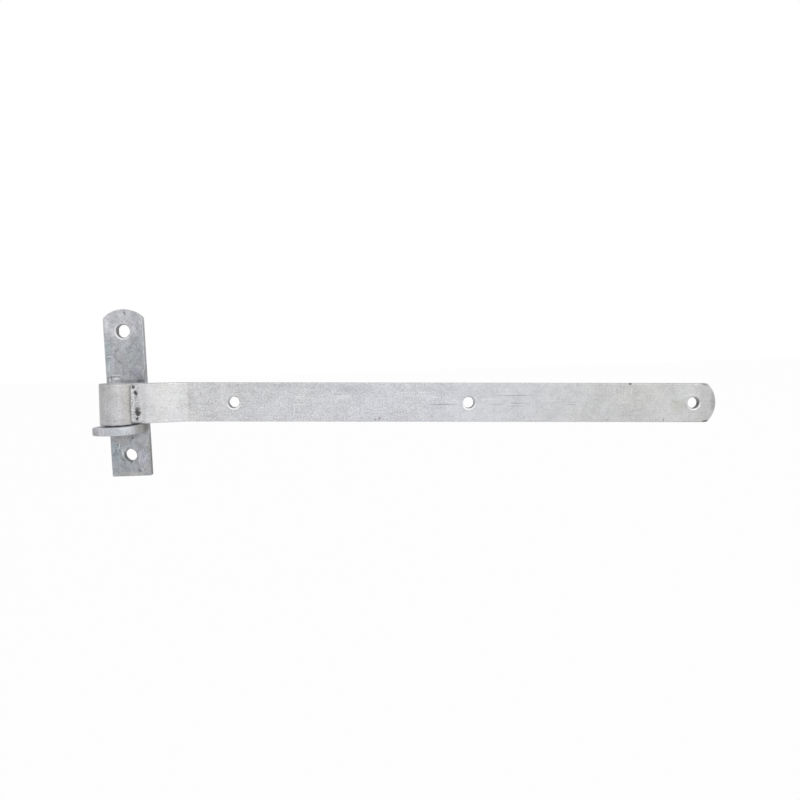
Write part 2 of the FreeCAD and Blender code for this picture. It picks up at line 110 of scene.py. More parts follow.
def mesh_piece(name, vertices, faces, material, marks):
    """A smooth-shaded piece from points in mm. marks are lists of values kept for its finish, by name."""
    mesh = bpy.data.meshes.new(name)
    mesh.from_pydata([Vector(v) * MM for v in vertices], [], faces)
    for label, numbers in marks.items():
        vector = isinstance(numbers[0], (tuple, Vector))
        kind, field = ("FLOAT_VECTOR", "vector") if vector else ("FLOAT", "value")
        attribute = mesh.attributes.new(label, kind, "POINT")
        flat = [x for n in numbers for x in n] if vector else numbers
        attribute.data.foreach_set(field, flat)
    shape = bmesh.new()
    shape.from_mesh(mesh)
    bmesh.ops.recalc_face_normals(shape, faces=shape.faces)
    shape.to_mesh(mesh)
    shape.free()
    mesh.polygons.foreach_set("use_smooth", [True] * len(mesh.polygons))
    mesh.materials.append(material)
    return new_object(name, mesh)


def stand_for(piece, node, body):
    """Let a piece take a CAD node's place on its body."""
    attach(piece, body)
    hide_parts(node)


def spaced(start, end, step):
    """Numbers from start to end, both included, evenly spaced and at most a step apart."""
    count = max(1, math.ceil(abs(end - start) / step - 1e-6))
    return [start + (end - start) * i / count for i in range(count + 1)]


def soften(runs, reach):
    """Join runs of points into one closed outline, the corner at each run's end rounded over its reach."""
    outline = []
    for index, run in enumerate(runs):
        points = [Vector(p) for p in run]
        start, corner = points[0], points[-1]
        after = runs[(index + 1) % len(runs)]
        cut_here, cut_before = reach[index], reach[index - 1]
        inner = [p for p in points if (p - corner).length > cut_here and (p - start).length > cut_before]
        leave = corner + (points[-2] - corner).normalized() * cut_here
        arrive = corner + (Vector(after[1]) - corner).normalized() * cut_here
        bend = [
            leave * (1 - t) ** 2 + corner * 2 * t * (1 - t) + arrive * t**2
            for t in (0, 0.25, 0.5, 0.75, 1)
        ]
        outline += inner + bend
    return outline


def inward_normals(outline):
    """For an anticlockwise outline, the way into the bar at each point, long enough to keep a wall even."""
    normals = []
    for before, here, after in zip(outline[-1:] + outline, outline, outline[1:] + outline[:1]):
        first = (here - before).normalized()
        second = (after - here).normalized()
        middle = Vector((-(first + second).y, (first + second).x)).normalized()
        normals.append(middle / max(0.5, middle.dot(Vector((-second.y, second.x)))))
    return normals


def rounded_wall(thickness, radius, shine, shade):
    """The section of a bar's edge from front to back: depth into the bar, level, painted highlight and shade.
    """
    half = thickness / 2
    front = []
    for degrees in (0, 22, 45, 68, 90):
        a = math.radians(degrees)
        depth = radius * (1 - math.sin(a))
        level = radius * (1 - math.cos(a)) - half
        front.append((depth, level, shine * math.sin(2 * a), shade * math.sin(a) ** 2))
    back = [(depth, -level, rim, wall) for depth, level, rim, wall in reversed(front)]
    return front + [(0.0, 0.0, 0.0, shade)] + back


def facing(angle, towards, spread):
    """1 where an angle looks towards a direction, falling to 0 at a spread from it, all in degrees."""
    apart = abs((angle - towards + 180) % 360 - 180)
    return max(0.0, math.cos(math.radians(90 * min(1.0, apart / spread))))


def drilled_wall(thickness, dark, bright):
    """The section of a bolt hole: drawn-up zinc round its front mouth, a worn lip and a wall in painted
    shade.

    dark and bright are (direction, spread, strength) of the painted shade and of the mouth's painted
    highlight.
    """
    half = thickness / 2

    def section(degrees):
        dull = dark[2] * facing(degrees, dark[0], dark[1])
        shine = bright[2] * facing(degrees, bright[0], bright[1])
        return [
            (2.8, -half, 0.0, 0.0),
            (2.2, -half - 0.08, 0.7 * shine, 0.0),
            (1.6, -half - 0.1, shine, 0.0),
            (1.1, -half - 0.02, shine, 0.1 * dull),
            (0.6, -half + 0.15, 0.25 * shine, 0.9 * dull),
            (0.25, -half + 0.45, 0.0, dull),
            (0.05, -half + 0.9, 0.0, dull),
            (0.0, -half + 1.4, 0.0, max(dull, 0.5)),
            (0.0, half - 1.0, 0.0, max(dull, 0.5)),
            (0.07, half - 0.6, 0.0, 0.6),
            (0.3, half - 0.25, 0.0, 0.3),
            (0.7, half, 0.0, 0.0),
        ]

    return section


def flat_bar(
    name, material, outline, walls, holes, rows, thickness, place, relief, narrowing=(0, 0.0)
):
    """A piece of flat bar with round holes and worn corners, set in place or bent by place(u, v, level).

    outline is anticlockwise, walls gives a section for each of its points, and holes are (u, v, radius,
    wall), where wall(degrees) gives the hole's section at an angle. rows are where its faces' grid lies along
    the bar, and relief is how far they are worn. narrowing is (direction, amount) of the zinc in the first
    hole.
    """
    loops = [(outline, inward_normals(outline), walls)]
    for u, v, radius, wall in holes:
        turn = [360 * i / HOLE_POINTS for i in range(HOLE_POINTS)]
        rays = [Vector((math.cos(math.radians(a)), math.sin(math.radians(a)))) for a in turn]
        squeeze = [narrowing[1] * math.cos(math.radians(a - narrowing[0])) ** 2 for a in turn]
        rim = [Vector((u, v)) + ray * (radius - inwards) for ray, inwards in zip(rays, squeeze)]
        loops.append((rim, rays, [wall(a) for a in turn]))
        narrowing = (0, 0.0)

    points, rims, sides, faces = [], [], [], []
    sheet_points = {-1: [], 1: []}
    sheet_edges = []
    margins = []
    for loop, normals, sections in loops:
        first = len(points)
        count = len(loop)
        steps = len(sections[0])
        for point, normal, section in zip(loop, normals, sections):
            for depth, level, rim, wall in section:
                at = point + normal * depth
                points.append((at.x, at.y, level))
                rims.append(rim)
                sides.append(wall)
        for i in range(count):
            j = (i + 1) % count
            for k in range(steps - 1):
                a, b = first + i * steps + k, first + j * steps + k
                faces.append((a, b, b + 1, a + 1))
        sheet_points[-1] += [first + i * steps for i in range(count)]
        sheet_points[1] += [first + i * steps + steps - 1 for i in range(count)]
        start = len(sheet_edges)
        sheet_edges += [(start + i, start + (i + 1) % count) for i in range(count)]
        margins += zip(loop, normals)

    def in_hole(at, margin):
        return any((at - Vector((u, v))).length < radius + margin for u, v, radius, _ in holes)

    def inside(at):
        return not in_hole(at, CLEAR_OF_HOLE) and all(
            (at - a).dot(Vector((-(b - a).y, (b - a).x)).normalized()) > CLEAR_OF_EDGE
            for a, b in zip(outline, outline[1:] + outline[:1])
            if (b - a).length > 1e-6
        )

    half_width = max(p.y for p in outline)
    columns = spaced(SHEET_COLUMNS - half_width, half_width - SHEET_COLUMNS, SHEET_COLUMNS)
    grid = [Vector((u, v)) for u in rows for v in columns]
    grid = [at for at in grid if inside(at)]
    for side in (-1, 1):
        level = side * thickness / 2
        rim_ids = sheet_points[side]
        inner = []
        for index, (point, normal) in enumerate(margins):
            depth = (Vector(points[rim_ids[index]][:2]) - point).length
            inner.append(point + normal * (depth + RING_INSET))
        flat_points = [Vector(points[i][:2]) for i in rim_ids] + inner + grid
        corners, _, triangles, origins, _, _ = delaunay_2d_cdt(flat_points, sheet_edges, [], 1, 1e-5)
        ids = []
        for at, sources in zip(corners, origins):
            source = sources[0] if sources else None
            if source is not None and source < len(rim_ids):
                ids.append(rim_ids[source])
                continue
            worn = relief * (0.5 + 0.5 * noise.noise(Vector((at.x * 0.045, at.y * 0.06, side * 7.0))))
            points.append((at.x, at.y, level - side * worn))
            rims.append(0.0)
            sides.append(0.0)
            ids.append(len(points) - 1)
        for triangle in triangles:
            middle = sum((corners[i] for i in triangle), Vector((0, 0))) / 3
            if not in_hole(middle, 0.0):
                faces.append(tuple(ids[i] for i in triangle))

    # rim and side carry each point's painted highlight and painted shade
    marks = {"rim": rims, "side": sides, "unrolled": [Vector(p) * MM for p in points]}
    return mesh_piece(name, [place(*p) for p in points], faces, material, marks)


def nosed_outline(length, half_width, stations, shoulder, heel):
    """A bar from u = 0 to its round nose, anticlockwise. shoulder and heel are its worn corners' reach."""
    centre = length - NOSE_RADIUS
    swing = math.asin(half_width / NOSE_RADIUS)
    turn = centre + NOSE_RADIUS * math.cos(swing)
    along = [u for u in stations if u < turn - 1.0] + [turn]
    runs = [
        [(u, -half_width) for u in along],
        [
            (centre + NOSE_RADIUS * math.cos(a), NOSE_RADIUS * math.sin(a))
            for a in spaced(-swing, swing, math.radians(2.5))
        ],
        [(u, half_width) for u in reversed(along)],
        [(0.0, v) for v in spaced(half_width, -half_width, 2.5)],
    ]
    return soften(runs, [shoulder, shoulder, heel, heel])


def weld_bead(name, length, face, root, place, seed, pitch, height, pits=()):
    """A run of weld with ripples of a pitch and height, worn ends and blow holes.

    face(t) gives a point and an outward direction on its smooth face, root the points sunk in the steel
    behind it, and place(across, out, along) sets it in the row frame. pits are (along, t, half length, half
    width, depth, painted shade).
    """
    end_reach, end_share = 2.4, 0.45
    stations = spaced(0.0, length, BEAD_STEP)
    steps = [i / BEAD_FACETS for i in range(BEAD_FACETS + 1)]
    core = sum((Vector(p) for p in root), Vector((0, 0))) / len(root)
    width = sum((face(b)[0] - face(a)[0]).length for a, b in zip(steps, steps[1:]))
    points, pit_marks, toe_shade, far_side_highlight, flow = [], [], [], [], []
    for s in stations:
        to_end = min(s, length - s)
        fullness = math.sqrt(1 - (1 - min(1.0, (to_end + 0.25) / end_reach)) ** 2)
        fullness = end_share + (1 - end_share) * fullness
        lean = 1 + 0.07 * noise.noise(Vector((s * 0.35, seed, 0.0)))
        for t in steps:
            at, out = face(t)
            crown = math.sin(math.pi * t)
            phase = (s + 1.5 * crown + 0.7 * noise.noise(Vector((s * 0.2, seed, 5.0)))) / pitch
            ripple = height * (abs(math.sin(math.pi * phase)) - 0.5) * crown**0.5
            lump = 0.45 * height * noise.noise(Vector((s * 0.6, t * 3.0, seed)))
            pit = 0.0
            sink = 0.0
            for along, middle, half_length, half_width, depth, pit_shade in pits:
                warp = 1 + 0.5 * noise.noise(Vector((s * 0.7, t * 7.0, seed + 9.0)))
                reach = math.hypot((s - along) / half_length, (t - middle) * width / half_width) * warp
                if reach < 1:
                    pit = max(pit, pit_shade * (1 - reach**2) ** 0.7)
                    sink = max(sink, depth * (1 - reach**2) ** 1.3)
            at = at + out * (ripple + lump * crown - sink)
            at = core + (at - core) * fullness * lean
            points.append(place(at.x, at.y, s))
            pit_marks.append(pit)
            toe_shade.append(max(0.0, 1 - t / 0.1))
            far_side_highlight.append(max(0.0, (t - 0.55) / 0.45))
            flow.append(Vector((s, t * width, 0.0)) * MM)
        for p in root:
            at = core + (Vector(p) - core) * fullness
            points.append(place(at.x, at.y, s))
            pit_marks.append(0.0)
            toe_shade.append(0.0)
            far_side_highlight.append(0.0)
            flow.append(Vector((s, -1.0, 0.0)) * MM)
    ring = len(steps) + len(root)
    faces = [
        (i * ring + k, i * ring + (k + 1) % ring, (i + 1) * ring + (k + 1) % ring, (i + 1) * ring + k)
        for i in range(len(stations) - 1)
        for k in range(ring)
    ]
    faces += [tuple(range(ring)), tuple(range((len(stations) - 1) * ring, len(stations) * ring))]
    marks = {"pit": pit_marks, "toe": toe_shade, "far": far_side_highlight, "unrolled": flow}
    return mesh_piece(name, points, faces, WELD_ZINC, marks)


def turned_piece(name, material, section, swirl=None):
    """A round piece turned from (radius, height) points about the pin's axis.

    swirl(radius, angle, height) lifts its surface.
    """
    around = ROUND_POINTS
    points, flow = [], []
    for radius, height in section:
        for i in range(around):
            angle = math.tau * i / around
            lift = swirl(radius, angle, height) if swirl else 0.0
            x, y = radius * math.cos(angle), radius * math.sin(angle)
            points.append((x, PIN_Y + y, height + lift))
            flow.append(Vector((x, y, height)) * MM)
    last = (len(section) - 1) * around
    faces = [
        (k + i, k + (i + 1) % around, k + around + (i + 1) % around, k + around + i)
        for k in range(0, last, around)
        for i in range(around)
    ]
    faces += [tuple(range(around)), tuple(range(last, last + around))]
    return mesh_piece(name, points, faces, material, {"unrolled": flow})


# finishes

def new_group(name, inputs, outputs):
    """A shader node group with named sockets. Returns the tree and its input and output nodes."""
    tree = bpy.data.node_groups.new(name, "ShaderNodeTree")
    for label, kind, default in inputs:
        socket = tree.interface.new_socket(name=label, in_out="INPUT", socket_type=f"NodeSocket{kind}")
        if default is not None:
            socket.default_value = default
    for label, kind in outputs:
        tree.interface.new_socket(name=label, in_out="OUTPUT", socket_type=f"NodeSocket{kind}")
    return tree, tree.nodes.new("NodeGroupInput"), tree.nodes.new("NodeGroupOutput")


def put(tree, socket, source):
    """Give an input a number, a colour or another node's output."""
    if isinstance(source, bpy.types.NodeSocket):
        tree.links.new(source, socket)
    else:
        socket.default_value = source


def maths(tree, operation, *sources, clamp=False):
    node = tree.nodes.new("ShaderNodeMath")
    node.operation = operation
    node.use_clamp = clamp
    for socket, source in zip(node.inputs, sources):
        put(tree, socket, source)
    return node.outputs[0]


def ramp(tree, source, low, high, to_low=0.0, to_high=1.0, smooth=False):
    node = tree.nodes.new("ShaderNodeMapRange")
    node.interpolation_type = "SMOOTHSTEP" if smooth else "LINEAR"
    for socket, value in zip(node.inputs, (source, low, high, to_low, to_high)):
        put(tree, socket, value)
    return node.outputs[0]


def blend_colours(tree, factor, first, second, mode="MIX"):
    node = tree.nodes.new("ShaderNodeMix")
    node.data_type = "RGBA"
    node.blend_type = mode
    put(tree, node.inputs[0], factor)
    put(tree, node.inputs[6], first)
    put(tree, node.inputs[7], second)
    return node.outputs[2]


def noise_at(tree, vector, scale, detail=2.0, roughness=0.5, distortion=0.0):
    node = tree.nodes.new("ShaderNodeTexNoise")
    put(tree, node.inputs["Vector"], vector)
    put(tree, node.inputs["Scale"], scale)
    put(tree, node.inputs["Detail"], detail)
    put(tree, node.inputs["Roughness"], roughness)
    put(tree, node.inputs["Distortion"], distortion)
    return node.outputs["Fac"]


def vector_maths(tree, operation, first, second):
    node = tree.nodes.new("ShaderNodeVectorMath")
    node.operation = operation
    put(tree, node.inputs[0], first)
    put(tree, node.inputs[1], second)
    return node.outputs[0]


def zinc_skin_group():
    """Dipped zinc: soft clouds, crystals, fine grain and the mill's lines along the bar, each from 0 to 1."""
    tree, given, out = new_group(
        "zinc_skin",
        [
            ("Vector", "Vector", None),
            ("Cloud Scale", "Float", 60.0),
            ("Crystal Scale", "Float", 300.0),
            ("Grain Scale", "Float", 650.0),
            ("Line Spread", "Vector", (30.0, 700.0, 700.0)),
        ],
        [("Cloud", "Float"), ("Crystal", "Float"), ("Grain", "Float"), ("Lines", "Float")],
    )
    at = given.outputs["Vector"]
    cloud = noise_at(tree, at, given.outputs["Cloud Scale"], 4.0, 0.6, 0.4)
    put(tree, out.inputs["Cloud"], ramp(tree, cloud, 0.34, 0.66, smooth=True))
    cells = tree.nodes.new("ShaderNodeTexVoronoi")
    put(tree, cells.inputs["Vector"], at)
    put(tree, cells.inputs["Scale"], given.outputs["Crystal Scale"])
    tones = tree.nodes.new("ShaderNodeSeparateColor")
    put(tree, tones.inputs["Color"], cells.outputs["Color"])
    put(tree, out.inputs["Crystal"], tones.outputs["Red"])
    grain = noise_at(tree, at, given.outputs["Grain Scale"], 3.0, 0.65)
    put(tree, out.inputs["Grain"], ramp(tree, grain, 0.34, 0.66))
    lines = noise_at(tree, vector_maths(tree, "MULTIPLY", at, given.outputs["Line Spread"]), 1.0, 2.0, 0.6)
    put(tree, out.inputs["Lines"], ramp(tree, lines, 0.32, 0.68))
    return tree


def edge_highlight_and_shade_group():
    """Painted highlights on rounded rims, and painted shade, partly duller zinc, on the walls between them,
    broken up unevenly.
    """
    tree, given, out = new_group(
        "edge_highlight_and_shade",
        [
            ("Vector", "Vector", None),
            ("Rim", "Float", 0.0),
            ("Side", "Float", 0.0),
            ("Break", "Float", 250.0),
        ],
        [("Bright", "Float"), ("Dull_And_Shade", "Float")],
    )
    patch = noise_at(tree, given.outputs["Vector"], given.outputs["Break"], 3.0, 0.6)
    uneven = ramp(tree, patch, 0.35, 0.6, 0.55, 1.0)
    put(tree, out.inputs["Bright"], maths(tree, "MULTIPLY", given.outputs["Rim"], uneven, clamp=True))
    patchy = ramp(tree, patch, 0.3, 0.7, 0.6, 1.0)
    put(tree, out.inputs["Dull_And_Shade"], maths(tree, "MULTIPLY", given.outputs["Side"], patchy, clamp=True))
    return tree


def stain_group():
    """One local mark: a soft oval of the given half sizes about a centre, turned, with a ragged edge."""
    tree, given, out = new_group(
        "stain",
        [
            ("Vector", "Vector", None),
            ("Centre", "Vector", (0.0, 0.0, 0.0)),
            ("Half Size", "Vector", (0.002, 0.002, 1.0)),
            ("Turn", "Float", 0.0),
            ("Ragged", "Float", 0.4),
            ("Softness", "Float", 0.65),
        ],
        [("Mask", "Float")],
    )
    turned = tree.nodes.new("ShaderNodeVectorRotate")
    turned.rotation_type = "Z_AXIS"
    put(tree, turned.inputs["Vector"], given.outputs["Vector"])
    put(tree, turned.inputs["Center"], given.outputs["Centre"])
    put(tree, turned.inputs["Angle"], maths(tree, "MULTIPLY", given.outputs["Turn"], -1.0))
    away = vector_maths(tree, "SUBTRACT", turned.outputs[0], given.outputs["Centre"])
    scaled = vector_maths(tree, "DIVIDE", away, given.outputs["Half Size"])
    length = tree.nodes.new("ShaderNodeVectorMath")
    length.operation = "LENGTH"
    put(tree, length.inputs[0], scaled)
    fringe = noise_at(tree, given.outputs["Vector"], 500.0, 2.0, 0.6)
    shift = maths(tree, "MULTIPLY", maths(tree, "SUBTRACT", fringe, 0.5), given.outputs["Ragged"])
    reach = maths(tree, "ADD", length.outputs["Value"], shift)
    full = maths(tree, "SUBTRACT", 1.0, given.outputs["Softness"])
    put(tree, out.inputs["Mask"], ramp(tree, reach, 1.0, full, smooth=True))
    return tree


ZINC_METALLIC = 0.5
ZINC_SKIN = zinc_skin_group()
EDGE_HIGHLIGHT_AND_SHADE = edge_highlight_and_shade_group()
STAIN = stain_group()


def grouped(tree, group, **values):
    node = tree.nodes.new("ShaderNodeGroup")
    node.node_tree = group
    for label, source in values.items():
        put(tree, node.inputs[label.replace("_", " ")], source)
    return node.outputs


def mark(tree, name):
    """What mesh_piece kept under a name."""
    node = tree.nodes.new("ShaderNodeAttribute")
    node.attribute_name = name
    return node.outputs["Vector"] if name == "unrolled" else node.outputs["Fac"]


def new_material(name, metallic):
    material = bpy.data.materials.new(name)
    material.use_nodes = True
    tree = material.node_tree
    shader = tree.nodes["Principled BSDF"]
    shader.inputs["Metallic"].default_value = metallic
    return material, tree, shader


def lay_on(tree, shader, colour, tone, dull, glossy, height, depth):
    """Give a material its colour, a roughness that runs from dull to glossy with tone, and a relief in mm."""
    put(tree, shader.inputs["Base Color"], colour)
    put(tree, shader.inputs["Roughness"], ramp(tree, tone, 0.2, 0.8, dull, glossy))
    bump = tree.nodes.new("ShaderNodeBump")
    bump.inputs["Strength"].default_value = 1.0
    bump.inputs["Distance"].default_value = depth * MM
    put(tree, bump.inputs["Height"], height)
    put(tree, shader.inputs["Normal"], bump.outputs["Normal"])


def grey(level, tint=(1.0, 1.0, 1.0)):
    """A colour from a display grey of 0 to 255 and a tint."""
    linear = ((level / 255 + 0.055) / 1.055) ** 2.4
    return (linear * tint[0], linear * tint[1], linear * tint[2], 1.0)


def moved(by, stains):
    """Stains whose places along the bar are counted from a point of it."""
    return [(by + u, *rest) for u, *rest in stains]


def stained(tree, at, colour, stains, usual=None, level=0.0, depth=1000.0):
    """Lay stains over a colour, or, where the bar's usual tone is given, shift its tone and keep its grain.

    Each is (u, v, half u, half v, turn, strength, shade) in mm and degrees, and may end with how soft its
    edge is. They lie at a level in the bar and fade out at a depth from it.
    """
    for u, v, half_u, half_v, turn, strength, shade, *softness in stains:
        if usual:
            shade = [s / b for s, b in zip(shade, usual)]
        mask = grouped(
            tree, STAIN, Vector=at, Centre=(u * MM, v * MM, level * MM),
            Half_Size=(half_u * MM, half_v * MM, depth * MM), Turn=math.radians(turn),
            Softness=softness[0] if softness else 0.65,
        )["Mask"]
        mode = "MULTIPLY" if usual else "MIX"
        colour = blend_colours(tree, maths(tree, "MULTIPLY", mask, strength), colour, shade, mode)
    return colour


def galvanised_bar(name, dark, light, cast, zones, marks, cloudy, lined, cloud_scale, coarse=(0.0, 1.0, 0.0)):
    """Dipped flat bar: its tone runs between a dark and a light zinc, and cast tints its slow clouds.

    zones shift its tone, and marks are groups of (level, depth, stains) on its faces. cloudy and lined are
    the shares of clouds and lines in its tone. coarse is (centre, half length, gain) of a stretch with a
    stronger grain.
    """
    crystals = 0.2
    material, tree, shader = new_material(name, ZINC_METALLIC)
    at = mark(tree, "unrolled")
    skin = grouped(tree, ZINC_SKIN, Vector=at, Cloud_Scale=cloud_scale)
    edge = grouped(tree, EDGE_HIGHLIGHT_AND_SHADE, Vector=at, Rim=mark(tree, "rim"), Side=mark(tree, "side"))
    grainy = 1 - crystals - cloudy - lined
    stretch = grouped(
        tree, STAIN, Vector=at, Centre=(coarse[0] * MM, 0.0, 0.0),
        Half_Size=(coarse[1] * MM, 1.0, 1.0), Softness=0.4,
    )["Mask"]
    gain = ramp(tree, stretch, 0.0, 1.0, grainy, grainy * (1 + coarse[2]))
    tone = maths(tree, "MULTIPLY", maths(tree, "SUBTRACT", skin["Grain"], 0.5), gain)
    tone = maths(tree, "ADD", tone, 0.5 * grainy)
    for output, share in (("Cloud", cloudy), ("Lines", lined), ("Crystal", crystals)):
        tone = maths(tree, "ADD", tone, maths(tree, "MULTIPLY", skin[output], share))
    colour = blend_colours(tree, tone, dark, light)
    slow = ramp(tree, noise_at(tree, at, 18.0, 2.0), 0.4, 0.6)
    colour = blend_colours(tree, slow, colour, cast, "MULTIPLY")
    colour = stained(tree, at, colour, zones, usual=[(a + b) / 2 for a, b in zip(dark, light)])
    for level, depth, group in marks:
        colour = stained(tree, at, colour, group, level=level, depth=depth)
    # painted shade on the walls, partly duller zinc, and painted highlights on the rounded rims
    for output, share, shade in (("Dull_And_Shade", 0.92, DEEP_SHADE), ("Bright", 0.95, grey(250))):
        colour = blend_colours(tree, maths(tree, "MULTIPLY", edge[output], share), colour, shade)
    height = maths(tree, "ADD", skin["Grain"], maths(tree, "MULTIPLY", skin["Lines"], 2.0 * lined))
    lay_on(tree, shader, colour, tone, 0.58, 0.44, height, 0.04)
    return material


def weld_metal(name, dark, light):
    """Dipped weld: painted shade in its toe's crease and blow holes, and a painted highlight on its far side.
    """
    material, tree, shader = new_material(name, ZINC_METALLIC)
    at = mark(tree, "unrolled")
    skin = grouped(tree, ZINC_SKIN, Vector=at, Cloud_Scale=260.0, Grain_Scale=1100.0)
    tone = maths(tree, "MULTIPLY", skin["Cloud"], 0.6)
    tone = maths(tree, "ADD", tone, maths(tree, "MULTIPLY", skin["Grain"], 0.4), clamp=True)
    colour = blend_colours(tree, tone, dark, light)
    # painted shade in the toe's crease and a painted highlight on the far side
    for label, share, shade in (("toe", 0.6, grey(76)), ("far", 0.9, grey(240))):
        colour = blend_colours(tree, maths(tree, "MULTIPLY", mark(tree, label), share), colour, shade)
    # painted shade in the blow holes
    pit_shade = ramp(tree, mark(tree, "pit"), 0.0, 0.8, 0.0, 0.93, smooth=True)
    colour = blend_colours(tree, pit_shade, colour, DEEP_SHADE)
    lay_on(tree, shader, colour, tone, 0.58, 0.42, skin["Grain"], 0.08)
    return material


def turned_metal(name, dark, light, metallic):
    """Dipped round metal with lines across its axis: the pin, and the plug of weld at its foot."""
    material, tree, shader = new_material(name, metallic)
    at = mark(tree, "unrolled")
    skin = grouped(tree, ZINC_SKIN, Vector=at, Cloud_Scale=160.0, Line_Spread=(500.0, 500.0, 60.0))
    tone = maths(tree, "MULTIPLY", skin["Cloud"], 0.6)
    tone = maths(tree, "ADD", tone, maths(tree, "MULTIPLY", skin["Lines"], 0.4), clamp=True)
    colour = blend_colours(tree, tone, dark, light)
    lay_on(tree, shader, colour, tone, 0.5, 0.36, skin["Lines"], 0.05)
    return material


# the darkest painted shade, on bar walls and in weld blow holes
DEEP_SHADE = grey(58)
# black scale, and painted shade in the crease at the eye's seam
BLACK_SCALE_AND_SHADE = grey(66)
# grime, and painted shade in the crease at the crank's end and above the eye
GRIME_AND_SHADE = grey(100)
# bare zinc, and painted light beside the eye's weld and on the tongue's corner
BARE_ZINC_AND_LIGHT = grey(230)
RUST_BLUSH = grey(166, (1.12, 0.97, 0.92))
BEIGE = grey(178, (1.03, 1.0, 0.94))
STRAW = grey(150, (1.06, 1.01, 0.85))
PALE_LILAC = grey(184, (0.975, 0.965, 1.13))
DRAWN_LILAC = grey(204, (0.98, 0.98, 1.1))

WELD_ZINC = weld_metal("weld_zinc", grey(168, (0.99, 0.99, 1.05)), grey(216, (1.0, 1.0, 1.01)))
PIN_ZINC = turned_metal("pin_zinc", grey(120), grey(170), 0.6)
PLUG_ZINC = turned_metal("plug_zinc", grey(150), grey(205), 0.5)


# band

def crank_line():
    """The crank about the pin: the eye's middle radius, both bends' centres and radius, and the slope."""
    middle = EYE_BORE + BAND_THICKNESS / 2
    first = Vector((CRANK_START, EYE_RADIUS + CRANK_BEND))
    second = Vector((CRANK_END, FLAT_BACK - BAND_THICKNESS - CRANK_BEND))
    span = second - first
    bend = CRANK_BEND + BAND_THICKNESS / 2
    slope = math.atan2(span.y, span.x) + math.asin(2 * bend / span.length)
    return middle, first, second, bend, slope


MIDDLE, FIRST_BEND, SECOND_BEND, BEND_RADIUS, SLOPE = crank_line()
EYE_SWEEP = math.radians(270) + math.asin(EYE_END_HEIGHT / EYE_RADIUS)
SLOPE_AHEAD = Vector((math.cos(SLOPE), math.sin(SLOPE)))
SLOPE_ACROSS = Vector((-SLOPE_AHEAD.y, SLOPE_AHEAD.x))
SLOPE_START = FIRST_BEND - SLOPE_ACROSS * BEND_RADIUS
SLOPE_END = SECOND_BEND + SLOPE_ACROSS * BEND_RADIUS
RUN_ENDS = []
for run_length in (
    MIDDLE * EYE_SWEEP,
    CRANK_START,
    BEND_RADIUS * SLOPE,
    (SLOPE_END - SLOPE_START).length,
    BEND_RADIUS * SLOPE,
    BAND_LENGTH - CRANK_END,
):
    RUN_ENDS.append(run_length + (RUN_ENDS[-1] if RUN_ENDS else 0.0))
EYE_END = RUN_ENDS[0]
UNROLLED_TIP = RUN_ENDS[-1]
FLAT_SHIFT = UNROLLED_TIP - BAND_LENGTH
EYE_SEAM = EYE_END - MIDDLE * math.radians(262.3)

# redder than the bar; painted shade over its front and left, painted light on its far left
EYE_ZONES = moved(EYE_END, [
    (-32, 0, 34, 90, 0, 0.5, grey(174, (1.02, 0.98, 1.0)), 0.4),
    (-34.2, 0, 5.2, 140, 0, 0.18, grey(136, (1.01, 0.99, 1.03)), 0.2),
    (-20, 0, 9, 90, 0, 0.4, grey(206, (1.03, 1.0, 0.97))),
    # straw-coloured painted light towards the seam
    (-52, 0, 6, 60, 0, 0.5, grey(224, (1.03, 1.01, 0.94))),
    (-36, -14, 3, 7, 0, 0.2, grey(140, (1.08, 0.99, 0.97))),
    (-48, -14.5, 4, 3, 0, 0.2, grey(150, (1.1, 0.98, 0.94))),
])
# warm zinc on the slope, greyer before the crease
CRANK_ZONES = [
    (RUN_ENDS[3] - 4, 0, 6, 40, 0, 0.35, grey(186)),
    (EYE_END + 38, 4, 16, 40, 0, 0.4, grey(200, (1.015, 1.005, 0.95))),
]
# a little blue in the middle, and painted shade towards the end, where the key light falls brighter
FLAT_ZONES = moved(FLAT_SHIFT, [
    (250, 0, 165, 300, 0, 0.3, grey(212, (0.975, 0.985, 1.05))),
    (340, 0, 190, 300, 0, 0.3, grey(206, (0.975, 0.985, 1.05))),
    (610, 0, 255, 900, 0, 0.6, grey(186, (1.0, 1.0, 0.97))),
    (312, 11, 15, 6, 0, 0.08, GRIME_AND_SHADE),
    (232, 13, 26, 5.5, 0, 0.12, GRIME_AND_SHADE),
    (150, 16.5, 90, 4, 0, 0.06, GRIME_AND_SHADE),
    (250, -18.6, 140, 3, 0, 0.3, grey(196, (1.01, 0.98, 1.03))),
    (481, 7.8, 16, 9, 0, 0.06, GRIME_AND_SHADE),
    (594, 0, 20, 40, 0, 0.16, GRIME_AND_SHADE),
    (562, -3, 12, 8, 0, 0.5, grey(184, (1.03, 1.01, 0.92))),
])
